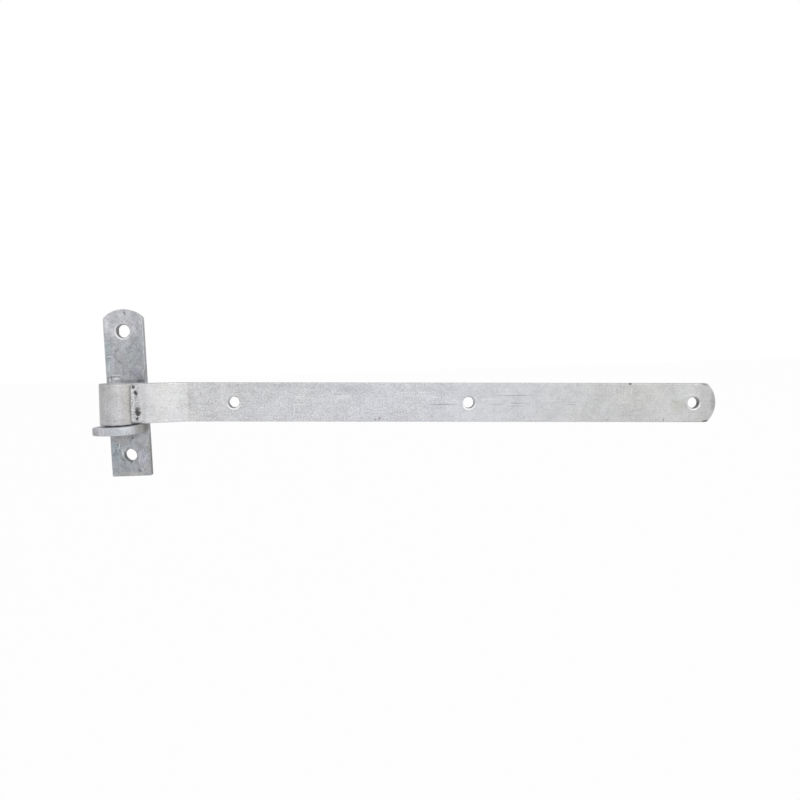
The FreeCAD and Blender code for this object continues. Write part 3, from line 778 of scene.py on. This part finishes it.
EYE_MARKS = [
    # painted shade in the crease between the eye and its weld, brownish, and greenish at the top
    (EYE_SEAM + 0.5, 0, 2.4, 26, 0, 0.3, grey(120, (1.05, 1.01, 0.92))),
    (EYE_SEAM + 0.2, -2, 0.8, 13, 1, 0.45, BLACK_SCALE_AND_SHADE),
    (EYE_SEAM + 0.4, 15, 1.9, 5, 0, 0.35, grey(128, (0.98, 1.03, 0.96))),
    # flecks and drawn lines
    *moved(EYE_END, [
        (-41, -15.5, 1.2, 1, 0, 0.35, GRIME_AND_SHADE),
        (-47, 4, 1.2, 2.2, 20, 0.2, STRAW),
        (-44.5, -5, 1.8, 1.2, -30, 0.2, STRAW),
        (-40, 9, 1, 2.6, 0, 0.2, grey(140, (1.05, 1.0, 0.95))),
        (-45.5, 13, 1.2, 1.8, 0, 0.2, grey(150, (1.06, 1.02, 0.88))),
        (-33.5, 15.5, 1.6, 2.4, 0, 0.2, GRIME_AND_SHADE),
        (-44, 7, 2.2, 0.9, 0, 0.25, BARE_ZINC_AND_LIGHT),
        (-38.5, 0, 1.5, 3.4, 0, 0.25, grey(214, (1.0, 0.98, 1.03))),
        (-43, 3, 0.5, 14, 3, 0.16, GRIME_AND_SHADE),
        (-36, -4, 0.5, 12, -2, 0.16, GRIME_AND_SHADE),
        (-47, -6, 0.6, 9, 4, 0.14, GRIME_AND_SHADE),
    ]),
]
# painted light on the lead beside the weld's toe, painted shade in the first bend and in the crease at the
# crank's end
CRANK_MARKS = [
    (EYE_END + 21.8, 0, 2, 40, 0, 0.35, BARE_ZINC_AND_LIGHT),
    (EYE_END + 27, 2, 3.6, 60, 0, 0.12, grey(188, (0.99, 0.99, 1.02))),
    (RUN_ENDS[4] + 1.6, 0, 0.8, 24, 0, 0.12, GRIME_AND_SHADE),
]
FLAT_MARKS = moved(FLAT_SHIFT, [
    # scratches along it
    (320.5, -1.9, 19, 0.6, 0, 0.55, GRIME_AND_SHADE),
    (393, 7.4, 26, 0.6, 0, 0.5, GRIME_AND_SHADE),
    (388, 8.6, 20, 0.5, 0, 0.4, BARE_ZINC_AND_LIGHT),
    (376, -1.8, 13, 0.5, 0, 0.35, GRIME_AND_SHADE),
    (399, -0.8, 14, 0.5, 2, 0.4, GRIME_AND_SHADE),
    (396, -3.8, 13, 0.5, -1, 0.3, GRIME_AND_SHADE),
    (452.8, -1.9, 8, 0.55, 0, 0.45, GRIME_AND_SHADE),
    (454, 0.4, 7, 0.5, 0, 0.35, GRIME_AND_SHADE),
    (175, 6.1, 6.5, 0.7, 0, 0.8, BARE_ZINC_AND_LIGHT, 0.4),
    (220, 6.3, 11, 0.7, 0, 0.8, BARE_ZINC_AND_LIGHT, 0.4),
    (222, 4.6, 10, 0.6, 0, 0.6, BARE_ZINC_AND_LIGHT, 0.4),
    (175, -2.3, 8, 0.7, 0, 0.7, BARE_ZINC_AND_LIGHT, 0.4),
    (169.5, -7, 0.7, 7, 0, 0.6, BARE_ZINC_AND_LIGHT, 0.4),
    (188, 3.6, 30, 0.6, 0, 0.35, BARE_ZINC_AND_LIGHT),
    (200, -3, 34, 0.6, 0, 0.3, BARE_ZINC_AND_LIGHT),
    (258, 4, 24, 0.6, 0, 0.35, BARE_ZINC_AND_LIGHT),
    (214, 8.2, 7, 0.5, 0, 0.4, GRIME_AND_SHADE),
    (300, 10.5, 6, 1.4, 0, 0.35, BARE_ZINC_AND_LIGHT),
    (312, 5.5, 9, 0.8, 0, 0.4, BARE_ZINC_AND_LIGHT),
    (334, 1.5, 6, 1.2, 0, 0.35, BARE_ZINC_AND_LIGHT),
    (367, 3, 10, 0.9, 0, 0.35, BARE_ZINC_AND_LIGHT),
    (430, 2, 14, 0.8, 0, 0.3, BARE_ZINC_AND_LIGHT),
    (80, -2, 14, 0.8, 0, 0.18, GRIME_AND_SHADE),
    # drawn marks across the bar before the nick
    (498.6, 10.9, 0.6, 9, 2, 0.2, GRIME_AND_SHADE),
    (502.2, 11.5, 0.6, 8, -1, 0.25, GRIME_AND_SHADE),
    (505.2, 10.5, 0.6, 8, 0, 0.2, GRIME_AND_SHADE),
    (513.6, 12, 0.6, 7, 0, 0.4, BARE_ZINC_AND_LIGHT),
    # scale spots at the edges
    (251.6, -17.6, 1.1, 1.4, 0, 0.7, GRIME_AND_SHADE),
    (256.2, -16.2, 1, 2.2, 0, 0.7, GRIME_AND_SHADE),
    (512, 19.4, 2.3, 1.5, 0, 0.95, BLACK_SCALE_AND_SHADE),
    (547, -17.6, 1.2, 2.6, 0, 0.5, GRIME_AND_SHADE),
    (560, 19.6, 60, 0.9, 0, 0.12, GRIME_AND_SHADE),
    (572, -19.6, 26, 0.9, 0, 0.45, GRIME_AND_SHADE),
    (589.5, -18.8, 4.4, 1.3, 12, 0.95, BLACK_SCALE_AND_SHADE),
    (588.5, 18.7, 5, 1.2, -12, 0.7, GRIME_AND_SHADE),
    # the grey end of the bar
    (598.5, 2, 5.5, 16, 0, 0.3, GRIME_AND_SHADE),
])
BAND_ZINC = galvanised_bar(
    "band_zinc",
    grey(181, (0.996, 0.998, 1.014)), grey(225, (0.998, 0.999, 1.01)), (0.993, 0.995, 1.012, 1.0),
    EYE_ZONES + CRANK_ZONES + FLAT_ZONES,
    [
        (BAND_THICKNESS / 2, MARK_DEPTH, EYE_MARKS),
        (-BAND_THICKNESS / 2, MARK_DEPTH, CRANK_MARKS + FLAT_MARKS),
    ],
    cloudy=0.21, lined=0.15, cloud_scale=50.0, coarse=(FLAT_SHIFT + 190.0, 170.0, 1.05),
)


def along_band(u):
    """At u along the unrolled bar: the middle line's point about the pin, and the way to the bar's back."""
    if u < EYE_END:
        angle = math.pi / 2 + (EYE_END - u) / MIDDLE
        back = Vector((math.cos(angle), math.sin(angle)))
        return back * MIDDLE, back
    if u < RUN_ENDS[1]:
        return Vector((u - EYE_END, MIDDLE)), Vector((0, 1))
    if u < RUN_ENDS[2]:
        angle = (u - RUN_ENDS[1]) / BEND_RADIUS
        back = Vector((-math.sin(angle), math.cos(angle)))
        return FIRST_BEND - back * BEND_RADIUS, back
    if u < RUN_ENDS[3]:
        return SLOPE_START + SLOPE_AHEAD * (u - RUN_ENDS[2]), SLOPE_ACROSS
    if u < RUN_ENDS[4]:
        angle = SLOPE - (u - RUN_ENDS[3]) / BEND_RADIUS
        back = Vector((-math.sin(angle), math.cos(angle)))
        return SECOND_BEND + back * BEND_RADIUS, back
    return Vector((CRANK_END + u - RUN_ENDS[4], FLAT_BACK - BAND_THICKNESS / 2)), Vector((0, 1))


def hang(x, y, z):
    """From the band's own place about the pin, z from its middle, to the row frame."""
    return (
        x * math.cos(DROOP) + z * math.sin(DROOP),
        y + PIN_Y,
        BAND_MIDDLE - x * math.sin(DROOP) + z * math.cos(DROOP),
    )


def place_band(u, v, level):
    middle, back = along_band(u)
    at = middle + back * level
    return hang(at.x, at.y, v)


def make_band():
    stations = spaced(0.0, EYE_END, 1.3)
    for start, end, step in zip(RUN_ENDS, RUN_ENDS[1:], (3.0, 0.8, 4.0, 0.8, 5.0)):
        stations += spaced(start, end, step)[1:]
    beside_bend = 0.5
    stations += [RUN_ENDS[1] - beside_bend, RUN_ENDS[2] + beside_bend]
    stations += [RUN_ENDS[3] - beside_bend, RUN_ENDS[4] + beside_bend]
    stations.sort()
    short_of_box = 0.02
    outline = nosed_outline(UNROLLED_TIP - short_of_box, BAND_HALF_WIDTH, stations, CORNER_REACH, 0.8)
    # painted rim highlights and wall shade; brighter on the lower edge, shaded on the slope's top
    walls = []
    for p in outline:
        rounding = 0.5 if p.x < 1.0 else BAR_ROUNDING if p.x < UNROLLED_TIP - 9 else 0.8
        underside = p.y < 0.1 - BAND_HALF_WIDTH and p.x > EYE_END
        slope_top = p.y > 0 and RUN_ENDS[1] < p.x < RUN_ENDS[4]
        shine, shade = (0.5, 0.0) if underside else (0.0, 0.6) if slope_top else (0.15, 0.35)
        walls.append(rounded_wall(BAND_THICKNESS, rounding, shine, shade))
    # for each hole, (direction, spread, strength) of its painted shade and of its mouth's painted highlight
    sides = [
        ((232, 85, 1.0), (262, 85, 1.0)),
        ((318, 95, 1.0), (286, 80, 1.0)),
        ((328, 105, 1.0), (302, 75, 1.0)),
    ]
    holes = [
        (FLAT_SHIFT + x, 0.0, BAND_HOLE_RADIUS, drilled_wall(BAND_THICKNESS, dark, bright))
        for x, (dark, bright) in zip(BAND_HOLES, sides)
    ]
    piece = flat_bar(
        "band_bar", BAND_ZINC, outline, walls, holes, stations, BAND_THICKNESS, place_band, relief=0.1
    )
    stand_for(piece, "band_strap", "band")


def make_eye_weld():
    """The bead in the valley between the eye's end and the band, with the blow holes that the photo shows."""
    eye_toe = Vector((math.sqrt(EYE_RADIUS**2 - 2.0**2), -2.0))
    strap_toe = Vector((WELD_TOE + 1.3, EYE_BORE))
    chord = strap_toe - eye_toe
    inward = Vector((-chord.y, chord.x)).normalized()
    centre = (eye_toe + strap_toe) / 2 + inward * math.sqrt(EYE_RADIUS**2 - (chord.length / 2) ** 2)
    from_angle = math.atan2(eye_toe.y - centre.y, eye_toe.x - centre.x)
    to_angle = math.atan2(strap_toe.y - centre.y, strap_toe.x - centre.x)

    def face(t):
        angle = from_angle + (to_angle - from_angle) * t
        out = Vector((math.cos(angle), math.sin(angle)))
        return centre + out * EYE_RADIUS, out

    root = [(19.6, 9.5), (15.0, 9.5), (12.2, 8.6), (13.2, 4.5), (14.4, -1.6)]
    length = 2 * BAND_HALF_WIDTH - 2.0

    def place(x, y, along):
        return hang(x, y, along - length / 2)

    middle = length / 2
    # the last value is the strength of each blow hole's painted shade
    pits = [
        (middle + 16.7, 0.28, 2.0, 2.0, 1.4, 0.8),
        (middle + 11.6, 0.43, 2.2, 2.2, 1.4, 0.7),
        (middle + 10.2, 0.49, 2.2, 2.3, 1.8, 0.85),
        (middle - 5.6, 0.62, 3.0, 5.0, 1.2, 0.6),
        (middle - 7.2, 0.55, 2.2, 2.6, 1.2, 0.8),
        (middle - 9.6, 0.66, 2.8, 4.2, 2.2, 1.0),
        (middle - 9.0, 0.80, 1.4, 2.6, 0.8, 0.9),
        (middle - 14.6, 0.56, 1.9, 2.1, 1.4, 0.8),
        (middle + 1.0, 0.15, 2.6, 0.7, 0.5, 0.45),
        (middle + 4.5, 0.42, 4.0, 0.8, 0.4, 0.35),
    ]
    bead = weld_bead("eye_bead", length, face, root, place, seed=3.0, pitch=2.9, height=0.4, pits=pits)
    stand_for(bead, "eye_weld", "band")


# hook

PLATE_ZONES = [
    # brighter top, lilac at its corners and beside the hole
    (155, 5, 28, 26, 0, 0.5, grey(208, (0.99, 0.99, 1.03))),
    (152, -12.4, 9, 3, 0, 0.55, PALE_LILAC),
    (161, 15, 9, 3.6, 0, 0.4, grey(190, (0.985, 0.97, 1.09))),
    (150, 17, 8, 2, 0, 0.25, PALE_LILAC),
    (158, -17.5, 9, 1.6, 0, 0.3, grey(208)),
    # a blue-green cast on the left, redder in the middle, bluer over the eye with painted shade there
    (128, 16.5, 17, 4.5, 0, 0.5, grey(168, (0.87, 1.04, 1.06))),
    (114, 15.8, 14, 3.8, 0, 0.4, grey(188, (0.91, 1.01, 1.09))),
    (120, 11, 10, 2.8, 0, 0.5, grey(180, (0.99, 0.955, 1.13))),
    (127, 6, 13, 6, 20, 0.3, grey(176, (1.05, 0.98, 1.0))),
    (139, 5, 6, 8, 0, 0.2, grey(160, (0.93, 1.02, 1.06))),
    (138, -11.5, 9, 6, 35, 0.2, GRIME_AND_SHADE),
    (120, -10, 20, 12, 0, 0.22, grey(146, (0.97, 1.0, 1.03))),
    (105.5, -11, 6, 9, 0, 0.5, grey(150, (0.95, 0.96, 1.16))),
    # below the tongue: blue-green on the left, reddish above it, lilac by the hole, brown at the right edge
    (14, 6, 24, 22, 0, 0.35, grey(154, (0.93, 1.01, 1.05))),
    (26, 14.5, 16, 8, 0, 0.6, grey(160, (0.84, 1.02, 1.12))),
    (37.4, 9, 4.6, 13, 4, 0.45, RUST_BLUSH),
    (23, 4.9, 4, 1, 0, 0.4, RUST_BLUSH),
    (20, -12.6, 9.5, 5.5, 0, 0.45, grey(178, (0.97, 0.97, 1.18))),
    (35, -15.6, 9, 1.4, 0, 0.5, grey(178, (0.99, 0.96, 1.12))),
    (34, -18.2, 12, 1.1, 0, 0.5, grey(176, (1.04, 1.02, 0.86))),
    (36, -8, 6, 6, 0, 0.35, grey(176, (1.03, 1.01, 0.97))),
    (18, 7.1, 4.5, 3.4, 20, 0.5, grey(128, (1.06, 1.0, 0.94))),
    (8, -15.8, 5.5, 3.6, 0, 0.6, BEIGE),
    (2.6, 2, 1.9, 19, 0, 0.45, grey(186, (1.04, 1.01, 0.9))),
    (20, -19.8, 28, 1.6, 0, 0.45, grey(112, (1.05, 1.02, 0.82))),
]
PLATE_MARKS = [
    # painted shade in a band just above the eye, where the eye and strap shade the plate, then lilac strokes
    # at the top
    (97.3, -8, 2.4, 14, 0, 0.42, grey(92)),
    (97.2, -15, 2.2, 6, 0, 0.5, grey(72)),
    (100.5, -15, 4, 6, 0, 0.2, GRIME_AND_SHADE),
    (103, -19.4, 10, 1.4, 0, 0.5, grey(96, (1.06, 1.0, 0.9))),
    (155, -9, 5, 1, 8, 0.4, PALE_LILAC),
    (160, 2, 1.2, 5, 10, 0.35, PALE_LILAC),
    # slanting curved scratches
    (122.4, 9.8, 5, 1.1, 26, 0.4, GRIME_AND_SHADE),
    (116.8, 5.2, 4.6, 1.1, 52, 0.38, GRIME_AND_SHADE),
    (113.2, 0.9, 3.2, 1, 52, 0.3, GRIME_AND_SHADE),
    (107, 2.2, 6.8, 1.2, 19, 0.3, GRIME_AND_SHADE),
    (124, 0.2, 7, 0.8, 24, 0.2, GRIME_AND_SHADE),
    (112, -9, 6.5, 0.8, -36, 0.25, GRIME_AND_SHADE),
    (124.6, 15.8, 0.6, 4, 4, 0.5, GRIME_AND_SHADE),
    (121, 15.6, 0.6, 4, -3, 0.5, GRIME_AND_SHADE),
    (122.8, 15.7, 0.6, 4, 0, 0.4, BARE_ZINC_AND_LIGHT),
    (112, 16.6, 7, 0.5, 0, 0.4, BARE_ZINC_AND_LIGHT),
    (111, 14.6, 8, 0.5, 0, 0.35, GRIME_AND_SHADE),
    # bare strokes over the eye
    (103.8, 9.9, 0.9, 7.2, 0, 0.75, grey(218)),
    (100.2, 9.6, 1.6, 4.8, 0, 0.7, grey(238)),
    (101.6, 14.8, 2.6, 0.9, 0, 0.5, grey(70)),
    (99, 16.2, 2.4, 1.4, 0, 0.6, BARE_ZINC_AND_LIGHT),
    (98, 4.5, 3, 2.5, 0, 0.35, GRIME_AND_SHADE),
    # marks at the crown
    (165.9, -2.4, 3.1, 1.1, 30, 0.75, grey(88)),
    (163, 6, 3, 2, 20, 0.2, GRIME_AND_SHADE),
    # below the tongue
    (39.3, -2.9, 1.3, 1.5, 0, 0.95, BLACK_SCALE_AND_SHADE),
    (36.6, 15.5, 1.2, 4, 0, 0.3, GRIME_AND_SHADE),
    (31.4, 11, 4.8, 0.8, -8, 0.6, BARE_ZINC_AND_LIGHT),
    (27.4, 12.6, 3.4, 0.8, 0, 0.42, BARE_ZINC_AND_LIGHT),
    (27.1, 17, 3, 0.7, 0, 0.4, BARE_ZINC_AND_LIGHT),
    (29, 14.6, 0.7, 4, 0, 0.28, BARE_ZINC_AND_LIGHT),
    (32.8, 12.8, 1.3, 1, 0, 0.5, grey(90)),
    (22.7, 16.8, 1.2, 1.3, 0, 0.5, grey(90)),
    (22.6, 12.4, 1.1, 1.1, 0, 0.4, grey(90)),
    (27.5, 8.2, 1.6, 2.2, 0, 0.3, BARE_ZINC_AND_LIGHT),
    (24.2, 7.8, 3.6, 1.1, 6, 0.6, grey(222, (1.02, 1.0, 0.96))),
    (14.6, -0.3, 2, 1.4, 0, 0.75, grey(84)),
    (20.5, -9.8, 7.5, 1.1, -16, 0.7, DRAWN_LILAC),
    (18, -14.6, 6, 1.1, -30, 0.7, DRAWN_LILAC),
    (16, -11.6, 4, 1, 24, 0.6, DRAWN_LILAC),
    (14.8, -8.6, 3.8, 1.3, 10, 0.6, DRAWN_LILAC),
    (25.5, -13, 3.8, 0.9, 20, 0.5, grey(198, (0.98, 0.98, 1.1))),
    (5.6, -8.6, 3.6, 1.6, 40, 0.65, grey(96)),
    (6.6, -11.4, 2.6, 0.9, 10, 0.35, BARE_ZINC_AND_LIGHT),
]
PLATE_ZINC = galvanised_bar(
    "plate_zinc", grey(133, (0.95, 1.0, 1.07)), grey(200, (0.97, 1.0, 1.05)), (1.01, 0.995, 1.0, 1.0),
    PLATE_ZONES, [(-PLATE_THICKNESS / 2, MARK_DEPTH, PLATE_MARKS)], cloudy=0.25, lined=0.1, cloud_scale=110.0,
)

# the nose lighter and bluer to the right as painted light, and darker and lilac to the left as painted shade
TONGUE_ZONES = [
    (46, 10, 8, 11, 0, 0.4, grey(204, (0.94, 1.01, 1.07))),
    (45, -14, 9, 8, 0, 0.2, grey(180, (1.03, 0.98, 1.03))),
    (46, 2, 6, 7, 0, 0.25, grey(204, (0.96, 1.0, 1.06))),
    # the right side beige, darkening in painted shade towards the plate
    (27, 20, 9, 3, 0, 0.4, grey(180, (1.05, 1.02, 0.86))),
    (18, 20, 18, 2.5, 0, 0.5, grey(152, (1.04, 1.01, 0.88))),
    (3, 20, 14, 4, 0, 0.6, grey(84, (1.06, 1.0, 0.9))),
]
# a painted highlight on the nose's right corner, and pale spots on its front
TONGUE_MARKS = [
    (40, 19, 5, 6, 0, 0.2, grey(216, (1.0, 1.0, 0.99))),
    (46.5, -10, 1.2, 3.6, 0, 0.35, BARE_ZINC_AND_LIGHT),
    (44, -17.5, 2, 1.4, 0, 0.35, grey(214)),
    (47.5, -6, 1, 2, 0, 0.3, BARE_ZINC_AND_LIGHT),
    (38, 19.6, 1.6, 1.2, 0, 0.3, BARE_ZINC_AND_LIGHT),
]
TONGUE_ZINC = galvanised_bar(
    "tongue_zinc", grey(160, (0.97, 0.99, 1.05)), grey(200, (0.98, 1.0, 1.04)), (1.0, 0.99, 1.02, 1.0),
    TONGUE_ZONES, [(0.0, 3 * TONGUE_THICKNESS, TONGUE_MARKS)], cloudy=0.25, lined=0.04, cloud_scale=80.0,
)


def make_plate():
    height = 2 * PLATE_HALF_HEIGHT
    stations = spaced(0.0, height, 5.0)
    outline = nosed_outline(height, PLATE_HALF_WIDTH, stations, CORNER_REACH, CORNER_REACH)
    # painted highlights on the rims, and painted shade on the walls, darker towards the bottom
    walls = []
    for p in outline:
        rounding = BAR_ROUNDING if abs(p.y) > PLATE_HALF_WIDTH - 0.1 else 0.8
        walls.append(rounded_wall(PLATE_THICKNESS, rounding, 0.2, 0.5 - 0.45 * p.x / height))
    # each hole's painted shade and its mouth's painted highlight
    upper = drilled_wall(PLATE_THICKNESS, (108, 115, 1.0), (138, 105, 0.75))
    lower = drilled_wall(PLATE_THICKNESS, (140, 110, 0.9), (85, 60, 0.3))
    holes = [
        (PLATE_HALF_HEIGHT - PLATE_HOLE_HEIGHT, 0.0, PLATE_HOLE_RADIUS, lower),
        (PLATE_HALF_HEIGHT + PLATE_HOLE_HEIGHT, 0.0, PLATE_HOLE_RADIUS, upper),
    ]

    def place(u, v, level):
        return (-v, level - PLATE_THICKNESS / 2, u - PLATE_HALF_HEIGHT)

    piece = flat_bar(
        "post_plate", PLATE_ZINC, outline, walls, holes, stations, PLATE_THICKNESS, place, relief=0.08,
        narrowing=(133, 0.8),
    )
    stand_for(piece, "hook_plate", "hook")


def make_tongue():
    stations = spaced(0.0, TONGUE_REACH, 3.0)
    outline = nosed_outline(TONGUE_REACH, PLATE_HALF_WIDTH, stations, 1.8, 0.4)
    half = TONGUE_THICKNESS / 2
    # painted highlights on the rims, and painted shade on the sides from the plate up to here
    shaded_until = 33.0
    walls = []
    for p in outline:
        rounding = 0.3 if p.x < 0.5 else BAR_ROUNDING
        walls.append(rounded_wall(TONGUE_THICKNESS, rounding, 0.2, 0.3 if p.x < shaded_until else 0.0))
    # the bore round the pin: painted shade on its wall and painted highlights at its mouths
    sink = PIN_WELD_DEPTH
    pin_wall = [
        (sink, -half, 0.3, 0.0),
        (sink * 0.5, -half + sink * 0.5, 0.0, 0.5),
        (0.0, -half + sink, 0.0, 1.0),
        (0.0, 0.5, 0.0, 1.0),
        (0.0, half - 0.25, 0.0, 1.0),
        (0.25, half, 0.4, 0.2),
    ]
    holes = [(-PIN_Y - PLATE_THICKNESS, 0.0, PIN_RADIUS, lambda degrees: pin_wall)]

    def place(u, v, level):
        return (v, -PLATE_THICKNESS - u, TONGUE_UNDERSIDE + half + level)

    piece = flat_bar(
        "pin_ledge", TONGUE_ZINC, outline, walls, holes, stations, TONGUE_THICKNESS, place, relief=0.06
    )
    stand_for(piece, "pin_tongue", "hook")


def make_pin():
    foot = TONGUE_UNDERSIDE + PIN_WELD_DEPTH
    inner = PIN_RADIUS - PIN_CHAMFER
    neck = PIN_TOP - PIN_CHAMFER
    section = [
        (0.5, PIN_TOP),
        (inner - 0.4, PIN_TOP),
        (inner, PIN_TOP - 0.1),
        (inner + 0.3, PIN_TOP - 0.35),
        (PIN_RADIUS - 0.3, neck + 0.35),
        (PIN_RADIUS - 0.05, neck - 0.1),
        (PIN_RADIUS, neck - 0.5),
    ]
    section += [(PIN_RADIUS, z) for z in spaced(neck - 3.0, foot, 3.0)]
    section += [(0.5, foot)]
    piece = turned_piece("pin_bar", PIN_ZINC, section)
    stand_for(piece, "hinge_pin", "hook")


def make_pin_weld():
    """The plug of weld under the tongue, its last ripples left in a spiral."""
    mouth = PIN_RADIUS + PIN_WELD_DEPTH
    top = TONGUE_UNDERSIDE + PIN_WELD_DEPTH
    bulge, ripple_height, crater_depth, crater_off, crater_reach = 0.9, 0.25, 0.6, 2.0, 2.0

    def swirl(radius, angle, height):
        if height > TONGUE_UNDERSIDE + 0.01:
            return 0.0
        crown = 1 - (radius / mouth) ** 2
        ripple = ripple_height * math.sin(radius * 2.4 - angle) * crown
        off = math.hypot(radius * math.cos(angle) - crater_off, radius * math.sin(angle))
        return crater_depth * math.exp(-((off / crater_reach) ** 2)) - bulge * crown - ripple

    section = [(r, TONGUE_UNDERSIDE) for r in spaced(0.2, mouth, 0.45)]
    section += [(PIN_RADIUS, top), (0.2, top)]
    piece = turned_piece("plug_weld", PLUG_ZINC, section, swirl)
    stand_for(piece, "pin_weld", "hook")


def make_tongue_weld(name, node, length, height, up, seed):
    """A fillet run between the plate and the tongue, above it when up is 1 and below it when up is -1."""
    leg = TONGUE_WELD_LEG
    radius = leg + 1.0
    sunk = 0.3
    inward = math.sqrt(radius**2 / 2 - leg**2 / 4)
    centre = Vector((leg / 2 - inward, leg / 2 - inward))
    start = math.atan2(leg - centre.y, -centre.x)
    end = math.atan2(-centre.y, leg - centre.x)

    def face(t):
        angle = start + (end - start) * t
        out = Vector((math.cos(angle), math.sin(angle)))
        return centre + out * radius, out

    root = [(leg - sunk, -sunk), (-sunk, -sunk), (-sunk, leg - sunk)]

    def place(out, rise, along):
        return (along - length / 2, -PLATE_THICKNESS - out, height + up * rise)

    bead = weld_bead(name, length, face, root, place, seed, pitch=3.1, height=0.45)
    stand_for(bead, node, "hook")


make_band()
make_eye_weld()
make_plate()
make_tongue()
make_pin()
make_pin_weld()
tongue_top = TONGUE_UNDERSIDE + TONGUE_THICKNESS
make_tongue_weld("ledge_bead_top", "tongue_weld_top", UPPER_WELD_LENGTH, tongue_top, 1, 11.0)
make_tongue_weld("ledge_bead_bottom", "tongue_weld_bottom", LOWER_WELD_LENGTH, TONGUE_UNDERSIDE, -1, 17.0)


# studio, in metres

FLOOR_HEIGHT = -0.33
FLOOR_REACH = 12.0
FLOOR_GREY = 0.82
FLOOR_WHITENESS = 0.97
SKY_LEVEL = 0.55
LAMPS = [
    # name, place, aim, side, watts
    ("key", (6.0, -6.2, 3.5), (0.3, 0.0, 0.0), 4.6, 322.0),
    ("fill", (-2.6, -3.2, 0.8), (0.2, 0.0, 0.0), 2.4, 12.0),
]
# the photo's viewpoint in mm and radians, fitted to the band's edges, its holes and the plate
CAMERA_PLACE = (273.707, -686.800, 33.397)
CAMERA_YAW, CAMERA_PITCH, CAMERA_ROLL = -0.00483, -0.07244, 0.03308
CAMERA_LENS = 30.137


def seen_by_eye_or_gloss(tree):
    """1 for camera, mirror and glass rays, which see a white background, and 0 for scattered light."""
    path = tree.nodes.new("ShaderNodeLightPath")
    first = maths(tree, "ADD", path.outputs["Is Camera Ray"], path.outputs["Is Glossy Ray"])
    return maths(tree, "ADD", first, path.outputs["Is Transmission Ray"], clamp=True)


def make_floor():
    """A pale floor that the camera sees as white, apart from the object's shadow."""
    mesh = bpy.data.meshes.new("floor")
    reach = FLOOR_REACH
    corners = [(-reach, -reach), (reach, -reach), (reach, reach), (-reach, reach)]
    mesh.from_pydata([(x, y, FLOOR_HEIGHT) for x, y in corners], [], [(0, 1, 2, 3)])
    floor = new_object("floor", mesh)
    material, tree, paint = new_material("floor_paint", 0.0)
    paint.inputs["Base Color"].default_value = (FLOOR_GREY, FLOOR_GREY, FLOOR_GREY, 1.0)
    paint.inputs["Roughness"].default_value = 0.9
    glow = tree.nodes.new("ShaderNodeEmission")
    glow.inputs["Color"].default_value = (1.0, 1.0, 1.0, 1.0)
    glow.inputs["Strength"].default_value = 1.0
    mix = tree.nodes.new("ShaderNodeMixShader")
    put(tree, mix.inputs[0], maths(tree, "MULTIPLY", seen_by_eye_or_gloss(tree), FLOOR_WHITENESS))
    tree.links.new(paint.outputs[0], mix.inputs[1])
    tree.links.new(glow.outputs[0], mix.inputs[2])
    tree.links.new(mix.outputs[0], tree.nodes["Material Output"].inputs["Surface"])
    mesh.materials.append(material)


def make_world():
    world = bpy.data.worlds.new("studio")
    bpy.context.scene.world = world
    world.use_nodes = True
    tree = world.node_tree
    background = tree.nodes["Background"]
    background.inputs["Color"].default_value = (1.0, 1.0, 1.0, 1.0)
    put(tree, background.inputs["Strength"], ramp(tree, seen_by_eye_or_gloss(tree), 0.0, 1.0, SKY_LEVEL, 1.0))


def add_lamp(name, place, aim, side, watts):
    lamp = bpy.data.lights.new(name, "AREA")
    lamp.shape = "SQUARE"
    lamp.size = side
    lamp.energy = watts
    stand = new_object(name, lamp)
    stand.location = place
    stand.rotation_mode = "QUATERNION"
    stand.rotation_quaternion = (Vector(aim) - Vector(place)).to_track_quat("-Z", "Y")


def make_camera():
    view = bpy.data.cameras.new("photo_view")
    view.sensor_width = 36.0
    view.lens = CAMERA_LENS
    view.clip_start = 0.02
    view.clip_end = 40.0
    camera = new_object("photo_view", view)
    turn = Matrix.Rotation(CAMERA_YAW, 3, "Z") @ Matrix.Rotation(CAMERA_PITCH, 3, "X")
    turn = turn @ Matrix.Rotation(CAMERA_ROLL, 3, "Y") @ Matrix.Rotation(math.pi / 2, 3, "X")
    camera.matrix_world = Matrix.Translation(Vector(CAMERA_PLACE) * MM) @ turn.to_4x4()
    bpy.context.scene.camera = camera


make_floor()
make_world()
for lamp_values in LAMPS:
    add_lamp(*lamp_values)
make_camera()

view_settings = bpy.context.scene.view_settings
view_settings.view_transform = "Standard"
